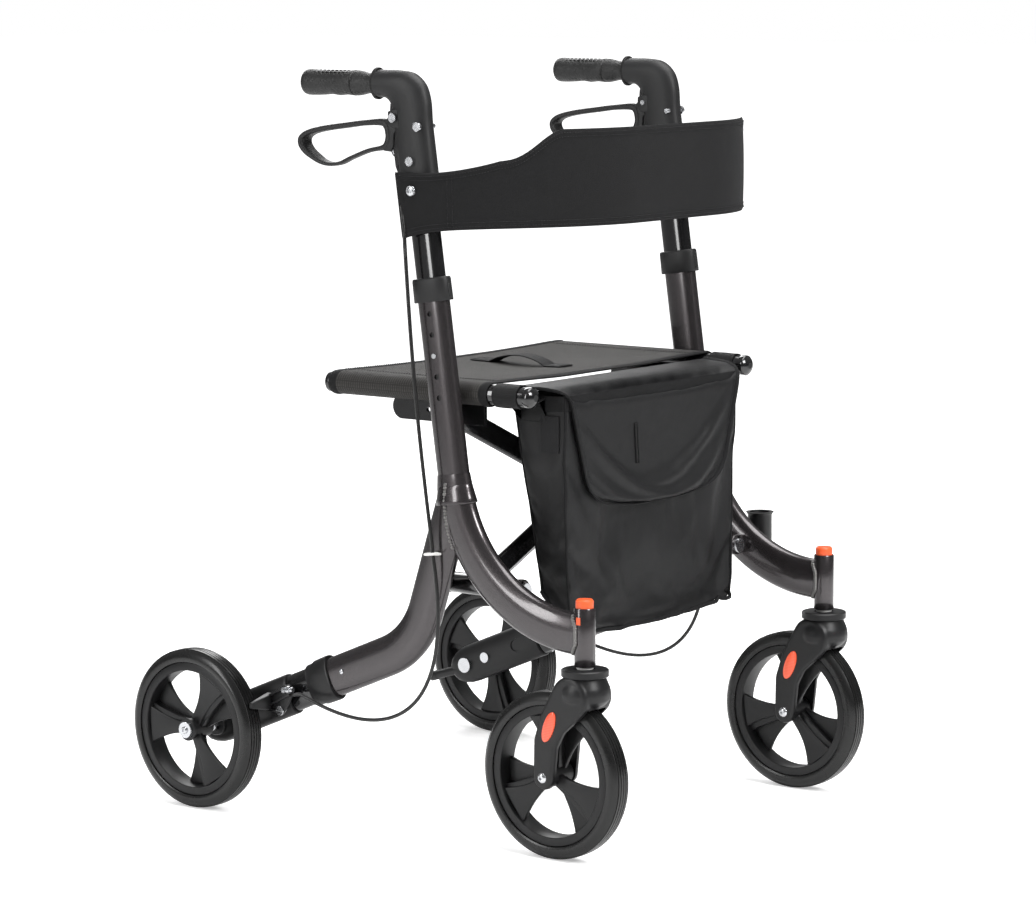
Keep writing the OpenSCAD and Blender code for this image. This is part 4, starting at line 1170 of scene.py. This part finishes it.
BAG_FOLDS = ((-60, 335, 62, 95, 10, 3.4), (10, 325, 112, 85, 9, 3.0), (72, 345, 48, 90, 10, 3.2), (-112, 300, 36, 70, 9, 2.6),
             (122, 305, 128, 75, 9, 2.8), (-22, 280, 20, 70, 9, 2.3), (44, 272, 150, 62, 9, 2.3))
FLAP_FOLDS = ((62, 462, 60, 66, 10, 2.4), (-72, 470, 125, 60, 10, 2.2), (112, 445, 100, 50, 9, 2.0), (12, 432, 30, 66, 9, 1.8), (-22, 496, 14, 95, 11, 1.6))

# wrinkles to start from: long soft folds falling from the corners
me = bag.data
for v in me.vertices:
    x, y, z = v.co.x * 1000, v.co.y * 1000, v.co.z * 1000
    w = math.sin(math.pi * min(1, max(0, (z - 250) / 285)))
    dn = 2.6 * noise.noise(Vector((x * 0.011 + z * 0.006, z * 0.012, y * 0.01))) + 1.1 * noise.noise(Vector((x * 0.03, z * 0.026, 7 + y * 0.02)))
    if abs(x) > HW - 12 and -222 < y < -150:
        v.co.x += (math.copysign(1, x) * (dn - 4.0 * math.sin(math.pi * (y + 226) / 70.0)) * w) * 0.001
    elif y < -215:
        v.co.y += (dn * 1.2 * w) * 0.001
    else:
        v.co.y += (dn * w) * 0.001
pins = {}
for ring_i, ring in enumerate(allr):
    vshare = (ring_i - len(bottom)) / NV
    for k in range(mring):
        i = ring_i * mring + k
        pins[i] = 0.0
for i in idx["top"]:
    pins[i] = 1.0
for i in idx["bot"]:
    pins[i] = 0.85
for ring_i in range(len(bottom)):
    for k in range(mring):
        pins[ring_i * mring + k] = 0.6
for key in ("fl", "fr", "bl", "br"):
    for i in idx[key]:
        pins[i] = max(pins[i], 0.7)
for k in range(mring):
    i = (len(allr) - 2) * mring + k
    pins[i] = max(pins[i], 0.5)
cloth(bag, pins, 24, -0.022, 0.35)
co = np.array([v.co for v in bag.data.vertices]) * 1000
# cloth may not leave the room it has
for i in range(len(co)):
    x, y, z = co[i]
    if y < -212 and z < 405:
        w = min(1.0, max(0.0, (168 - abs(x)) / 40)) * min(1.0, max(0.0, (z - 250) / 25)) * min(1.0, (405 - z) / 25)
        co[i, 1] -= w * (fold_relief(x, z, BAG_FOLDS) - 0.8)
co[:, 0] = np.clip(co[:, 0], -HW - 7, HW + 7)
co[:, 1] = np.clip(co[:, 1], -236, -140)
co[:, 2] = np.clip(co[:, 2], 240, 538)
for i, v in enumerate(bag.data.vertices):
    v.co = Vector(co[i] * 0.001)
seams = {}
for key, ii in idx.items():
    seams[key] = np.array([co[i] for i in ii if i < bagn])


def smooth_line(p, it=3):
    p = np.array(p, float)
    for _ in range(it):
        q = p.copy()
        q[1:-1] = 0.25 * p[:-2] + 0.5 * p[1:-1] + 0.25 * p[2:]
        p = q
    return p


m = bag.modifiers.new("s", "SUBSURF")
m.levels = 1
apply_mods(bag)
shade(bag, None)
piping = [sweep(smooth_line(seams["fl"]), 1.7, 8), sweep(smooth_line(seams["fr"]), 1.7, 8), sweep(smooth_line(seams["bl"]), 1.5, 8), sweep(smooth_line(seams["br"]), 1.5, 8)]
lb_ = np.vstack([seams["bot"], seams["bot"][:1]])
piping.append(sweep(seams["bot"], 2.6, 10, closed=True))
bag_pipe = piece("bag_piping", piping, "binding", None, sharp=None)
top_band = []
tp = seams["top"]
rr_ = []
for dz, off in ((1.0, 0.4), (1.6, 1.4), (-16, 1.4), (-17, 0.4)):
    ring = []
    for p in tp:
        c = np.array([0, -186])
        d = np.array([p[0], p[1]]) - c
        ring.append((p[0] + off * np.sign(d[0]) * (abs(p[0]) > HW - 8), p[1] + off * np.sign(d[1]) * (abs(p[0]) <= HW - 4), p[2] + dz))
    rr_.append(ring)
bag_band = piece("bag_top_band", [loft(rr_, cap=False)], "binding", None, sharp=60)
# hook patch on the near side panel, and its twin on the other side
vel = []
for sx in (-1, 1):
    g = []
    for j in range(8):
        for i in range(6):
            y = -216 + 26 * i / 5 + 1.2 * j / 7
            z = 512 - 44 * j / 7
            g.append((y, z))
    pv = [(sx * (HW + 0.2 + 0.0), y, z) for y, z in g]
    best = []
    for x, y, z in pv:
        near = co[(np.abs(co[:, 0]) > HW - 25) & (np.sign(co[:, 0]) == sx)]
        d2 = (near[:, 1] - y) ** 2 + (near[:, 2] - z) ** 2
        k = np.argsort(d2)[:3]
        best.append(float(np.mean(np.abs(near[k][:, 0]))))
    vo = [(sx * (b + 2.2), y, z) for b, (y, z) in zip(best, g)]
    vi = [(sx * (b - 1.0), y, z) for b, (y, z) in zip(best, g)]
    n = len(vo)
    f = []
    for j in range(7):
        for i in range(5):
            a = j * 6 + i
            f.append((a, a + 1, a + 7, a + 6))
            f.append((n + a, n + a + 6, n + a + 7, n + a + 1))
    rim_ = [i for i in range(6)] + [j * 6 + 5 for j in range(1, 8)] + [42 + i for i in range(4, -1, -1)] + [j * 6 for j in range(6, 0, -1)]
    for a, b in zip(rim_, rim_[1:] + rim_[:1]):
        f.append((a, b, n + b, n + a))
    vel.append((vo + vi, f))
bag_vel = piece("bag_hook_patches", vel, "velcro", None, sharp=50)
# loops of webbing that hang the bag on the seat tubes
loops = []
for sx in (-1, 1):
    for y0, y1 in ((-196, -160),):
        rings = []
        for j in range(9):
            y = y0 + (y1 - y0) * j / 8
            ring_o, ring_i = [], []
            for k in range(25):
                a = math.radians(-118 + 330 * k / 24)
                rr = SEAT_R + 2.4 + 0.5 * noise.noise(Vector((a * 1.3, y * 0.06, sx)))
                ring_o.append((sx * (SEAT_X + rr * math.cos(a)), y, SEAT_Z + rr * math.sin(a)))
                ring_i.append((sx * (SEAT_X + (rr - 1.6) * math.cos(a)), y, SEAT_Z + (rr - 1.6) * math.sin(a)))
            rings.append(ring_o + ring_i[::-1])
        loops.append(loft(rings))
        rings = []
        for j in range(9):
            y = y0 + (y1 - y0) * j / 8
            pts = [(SEAT_X - 9.5, SEAT_Z - 10.5), (SEAT_X - 18, SEAT_Z - 12), (SEAT_X - 30, SEAT_Z - 8), (HW + 1, 533), (HW + 1.5, 514), (HW + 1.3, 505)]
            up = [(sx * x, y, z) for x, z in pts]
            dn = [(sx * (x - 1.2), y, z - 1.4) for x, z in pts]
            rings.append(up + dn[::-1])
        loops.append(loft(rings))
bag_loops = piece("bag_hanging_loops", loops, "webbing", None, sharp=50)
st = []
for key, off in (("fl", (-0.2, -1.9)), ("fr", (0.2, -1.9))):
    p = smooth_line(seams[key])
    inn = 5.0 if key == "fl" else -5.0
    st += stitches([(q[0] + inn, q[1] - 1.3, q[2]) for q in p[1:-2]], 3.6, 2.4, 0.4)
bag_st = piece("bag_stitching", st, "thread", None, sharp=None)
for o, rep in ((bag, ("bag",)), (bag_pipe, ()), (bag_band, ()), (bag_vel, ()), (bag_loops, ()), (bag_st, ())):
    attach(o, "bag")
    if rep:
        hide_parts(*rep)
    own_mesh(o)

# ------------------------------------------------------------------ flap
FN, FM = 40, 34


def flap_w(t):
    """Half width of the flap with distance down the front (t from the rear edge, mm)."""
    if t < 75:
        return 199 - 29 * (t / 75) ** 0.8
    q = (t - 75) / 137
    w = 170 - 38 * q
    if q > 0.72:
        k = (q - 0.72) / 0.28
        w -= 34 * (1 - math.sqrt(max(0.0, 1 - k * k)))
    return w


def flap_point(u, t):
    """u -1..1 across, t mm from the rear edge over the top and down the front."""
    w = flap_w(t)
    x = u * w
    lower = 1 - 0.06 * abs(u) ** 2.2
    if t < 60:
        y, z = -156 - t * 64 / 60, 545.5 - 4 * (t / 60) + 2.5 * math.sin(math.pi * t / 60)
    elif t < 75:
        a = (t - 60) / 15 * math.pi / 2
        y, z = -220 - 10.0 * math.sin(a), 541.5 - 10.0 * (1 - math.cos(a))
    else:
        y, z = -230.0, 531.5 - (t - 75) * (lower if t > 75 else 1)
    return [x, y, z]


grid = []
tmax = 75 + 137 * 0.9985
ts = list(np.linspace(0, 60, 9)) + list(np.linspace(60, 75, 4)[1:]) + list(75 + 137 * (1 - (1 - np.linspace(0, 1, 25)[1:]) ** 1.15) * 0.9985)
for t in ts:
    for k in range(FN + 1):
        u = -1 + 2 * k / FN
        p = flap_point(u, t)
        d = max(0.0, (t - 60) / 152)
        wr = 2.2 * noise.noise(Vector((p[0] * 0.013, t * 0.012, 5.5))) + 1.0 * noise.noise(Vector((p[0] * 0.035, t * 0.03, 1.5)))
        if t > 70:
            p[1] += wr * d * 1.3
        else:
            p[2] += 0.5 * wr
        grid.append(p)
nt_, nu = len(ts), FN + 1
gf = [(j * nu + i, j * nu + i + 1, (j + 1) * nu + i + 1, (j + 1) * nu + i) for j in range(nt_ - 1) for i in range(nu - 1)]
flap = raw("bag_flap_sheet", [(grid, gf)], "bag_cloth")
pins = {}
for j in range(nt_):
    for i in range(nu):
        k = j * nu + i
        pins[k] = 1.0 if ts[j] <= 58 else 0.0
        if i in (0, nu - 1) or j == nt_ - 1:
            pins[k] = max(pins[k], 0.72)
        elif i in (1, nu - 2) or j == nt_ - 2:
            pins[k] = max(pins[k], 0.45)
cloth(flap, pins, 22, -0.025, 0.6)
fc = np.array([v.co for v in flap.data.vertices]) * 1000
fc[:, 0] = np.clip(fc[:, 0], -200, 200)
fc[:, 1] = np.clip(fc[:, 1], -240, -156)
front = fc[:, 2] < 528
for i in np.nonzero(front)[0]:
    fc[i, 1] -= min(1.0, max(0.0, (150 - abs(fc[i, 0])) / 30)) * min(1.0, (528 - fc[i, 2]) / 20) * fold_relief(fc[i, 0], fc[i, 2], FLAP_FOLDS)
fc[:, 1] = np.maximum(fc[:, 1], -241)
fc[front, 1] = np.minimum(fc[front, 1], -229.5)
fc[:, 2] = np.clip(fc[:, 2], 396, 545)
for i, v in enumerate(flap.data.vertices):
    v.co = Vector(fc[i] * 0.001)
G = fc.reshape(nt_, nu, 3)
edge_path = [G[j, 0] for j in range(nt_)] + [G[nt_ - 1, i] for i in range(1, nu)] + [G[j, nu - 1] for j in range(nt_ - 2, -1, -1)]
m = flap.modifiers.new("so", "SOLIDIFY")
m.thickness = 0.0016
m.offset = 0.0
m2 = flap.modifiers.new("s", "SUBSURF")
m2.levels = 1
apply_mods(flap)
shade(flap, 70)
ep = smooth_line(edge_path, 2)
flap_bind = piece("bag_flap_binding", [sweep(ep, 2.2, 10, flat=(4.2, 1.5), up=(0, -1, 0.2))], "binding", None, sharp=50)
flap_st = piece("bag_flap_stitching", stitches([(p[0] * 0.965, p[1] - 1.6, p[2] + (5.0 if p[2] < 470 else 0)) for p in ep if p[2] < 530], 3.6, 2.4, 0.4), "thread", None, sharp=None)
# slot with stitched lips
jj = [j for j in range(nt_) if 440 < G[j, nu // 2][2] < 496]
slot_x = -38.0
ui = (slot_x / 150 + 1) / 2 * FN
i0 = int(ui)
sl = []
for j in jj:
    a = G[j, i0] * (1 - (ui - i0)) + G[j, i0 + 1] * (ui - i0)
    sl.append((a[0], a[1] - 1.3, a[2]))
slot_parts = [sweep([(p[0] - 2.3, p[1], p[2]) for p in sl], 1.2, 8), sweep([(p[0] + 2.3, p[1], p[2]) for p in sl], 1.2, 8)]
flap_slot = piece("bag_flap_slot_lips", slot_parts, "binding", None, sharp=None)
# near-black strip down the slot: painted shade in the gap between the lips
flap_slot_shade = piece("bag_flap_slot_shade", [sweep([(p[0], p[1] + 0.5, p[2]) for p in sl], 1.0, 8, flat=(0.7, 1.6), up=(0, -1, 0))], "dark_hole", None, sharp=None)
for o, rep in ((flap, ("bag_flap",)), (flap_bind, ()), (flap_st, ()), (flap_slot, ()), (flap_slot_shade, ())):
    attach(o, "bag_flap")
    if rep:
        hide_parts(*rep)
    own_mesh(o)

# ------------------------------------------------------------------ CAD pieces that stay as they are
CADMAT = {}
for s in SIDES:
    CADMAT.update({f"{s}_height_button": "steel", f"{s}_handle_bolts": "steel", f"{s}_rear_axle": "steel", f"{s}_caster_bushes": "matte_plastic",
                   f"{s}_release_button": "orange", f"{s}_reflectors": "orange", f"{s}_front_axle": "steel", f"{s}_pivot_pin": "steel",
                   f"{s}_seat_tube": "gloss_black", f"{s}_seat_caps": "gloss_black"})
CADMAT.update({"brace_bar_a": "gloss_black", "brace_bar_b": "gloss_black", "brace_bolt": "steel", "cane_cup": "black_plastic"})
for n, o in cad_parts.items():
    mt = CADMAT.get(n, "black_plastic")
    o.data.materials.clear()
    o.data.materials.append(M[mt])
    o.data.polygons.foreach_set("material_index", [0] * len(o.data.polygons))
    if n in CADMAT:
        w = o.modifiers.new("w", "WELD")
        w.merge_threshold = 0.00001
        v = o.modifiers.new("v", "BEVEL")
        v.width = 0.0005
        v.segments = 2
        v.limit_method = "ANGLE"
        v.angle_limit = math.radians(35)

# ------------------------------------------------------------------ stage, light, camera
floor_m, t, b = nt("stage_floor")
b.inputs["Base Color"].default_value = (0.93, 0.93, 0.93, 1)
b.inputs["Roughness"].default_value = 0.55
b.inputs["Specular IOR Level"].default_value = 0.25
b.inputs["Emission Color"].default_value = (1, 1, 1, 1)
lpf = t.nodes.new("ShaderNodeLightPath")
tcf = t.nodes.new("ShaderNodeTexCoord")
ln = t.nodes.new("ShaderNodeVectorMath")
ln.operation = "LENGTH"
t.links.new(tcf.outputs["Object"], ln.inputs[0])
far = t.nodes.new("ShaderNodeMapRange")
far.inputs["From Min"].default_value = 0.9
far.inputs["From Max"].default_value = 3.0
far.inputs["To Min"].default_value = 0.40
far.inputs["To Max"].default_value = 1.05
t.links.new(ln.outputs["Value"], far.inputs["Value"])
mf = t.nodes.new("ShaderNodeMath")
mf.operation = "MULTIPLY"
t.links.new(lpf.outputs["Is Camera Ray"], mf.inputs[0])
t.links.new(far.outputs[0], mf.inputs[1])
t.links.new(mf.outputs[0], b.inputs["Emission Strength"])
me = bpy.data.meshes.new("stage_floor")
me.from_pydata([(-30, -30, 0), (30, -30, 0), (30, 30, 0), (-30, 30, 0)], [], [(0, 1, 2, 3)])
fl = bpy.data.objects.new("stage_floor", me)
SCN.collection.objects.link(fl)
me.materials.append(floor_m)

world = bpy.data.worlds.new("studio")
SCN.world = world
world.use_nodes = True
wt = world.node_tree
bg = wt.nodes["Background"]
tcw = wt.nodes.new("ShaderNodeTexCoord")
sepw = wt.nodes.new("ShaderNodeSeparateXYZ")
wt.links.new(tcw.outputs["Generated"], sepw.inputs[0])
rampw = wt.nodes.new("ShaderNodeValToRGB")
rampw.color_ramp.elements[0].position = 0.0
rampw.color_ramp.elements[0].color = (0.10, 0.10, 0.10, 1)
rampw.color_ramp.elements[1].position = 1.0
rampw.color_ramp.elements[1].color = (0.42, 0.42, 0.42, 1)
wt.links.new(sepw.outputs["Z"], rampw.inputs[0])
lp = wt.nodes.new("ShaderNodeLightPath")
mixw = wt.nodes.new("ShaderNodeMixRGB")
wt.links.new(lp.outputs["Is Camera Ray"], mixw.inputs[0])
wt.links.new(rampw.outputs[0], mixw.inputs[1])
mixw.inputs[2].default_value = (1, 1, 1, 1)
wt.links.new(mixw.outputs[0], bg.inputs[0])
bg.inputs[1].default_value = 1.0


def area(name, loc, target, size, size_y, power):
    l = bpy.data.lights.new(name, "AREA")
    l.shape = "RECTANGLE"
    l.size, l.size_y = size, size_y
    l.energy = power
    o = bpy.data.objects.new(name, l)
    o.location = loc
    d = Vector(target) - Vector(loc)
    o.rotation_euler = d.to_track_quat("-Z", "Y").to_euler()
    SCN.collection.objects.link(o)
    return o


area("key_top", (0.3, -0.5, 3.2), (0, 0, 0.4), 2.8, 2.2, 110)
area("key_front", (-0.4, -3.0, 2.3), (0, 0, 0.4), 1.3, 1.0, 85)
area("left_strip", (-2.7, 1.1, 1.5), (0, 0, 0.45), 0.6, 2.2, 42)
area("back_wash", (1.8, 2.4, 2.2), (0, 0.2, 0.3), 2.0, 1.6, 45)

cam = bpy.data.cameras.new("camera")
cam.sensor_width = 36
cam.sensor_fit = "HORIZONTAL"
cam.lens = 136.24
cam.clip_end = 100
co_ = bpy.data.objects.new("camera", cam)
SCN.collection.objects.link(co_)
a, e, r = math.radians(-51.29), math.radians(7.45), math.radians(-0.407)
back = np.array([math.sin(a) * math.cos(e), -math.cos(a) * math.cos(e), math.sin(e)])
right0 = np.array([math.cos(a), math.sin(a), 0])
up0 = np.cross(back, right0)
right = math.cos(r) * right0 + math.sin(r) * up0
up = -math.sin(r) * right0 + math.cos(r) * up0
mw = Matrix(((right[0], up[0], back[0], -3.794339), (right[1], up[1], back[1], -3.055292), (right[2], up[2], back[2], 1.070849), (0, 0, 0, 1)))
co_.matrix_world = mw
SCN.camera = co_
SCN.view_settings.view_transform = "Standard"
SCN.view_settings.exposure = 0.0
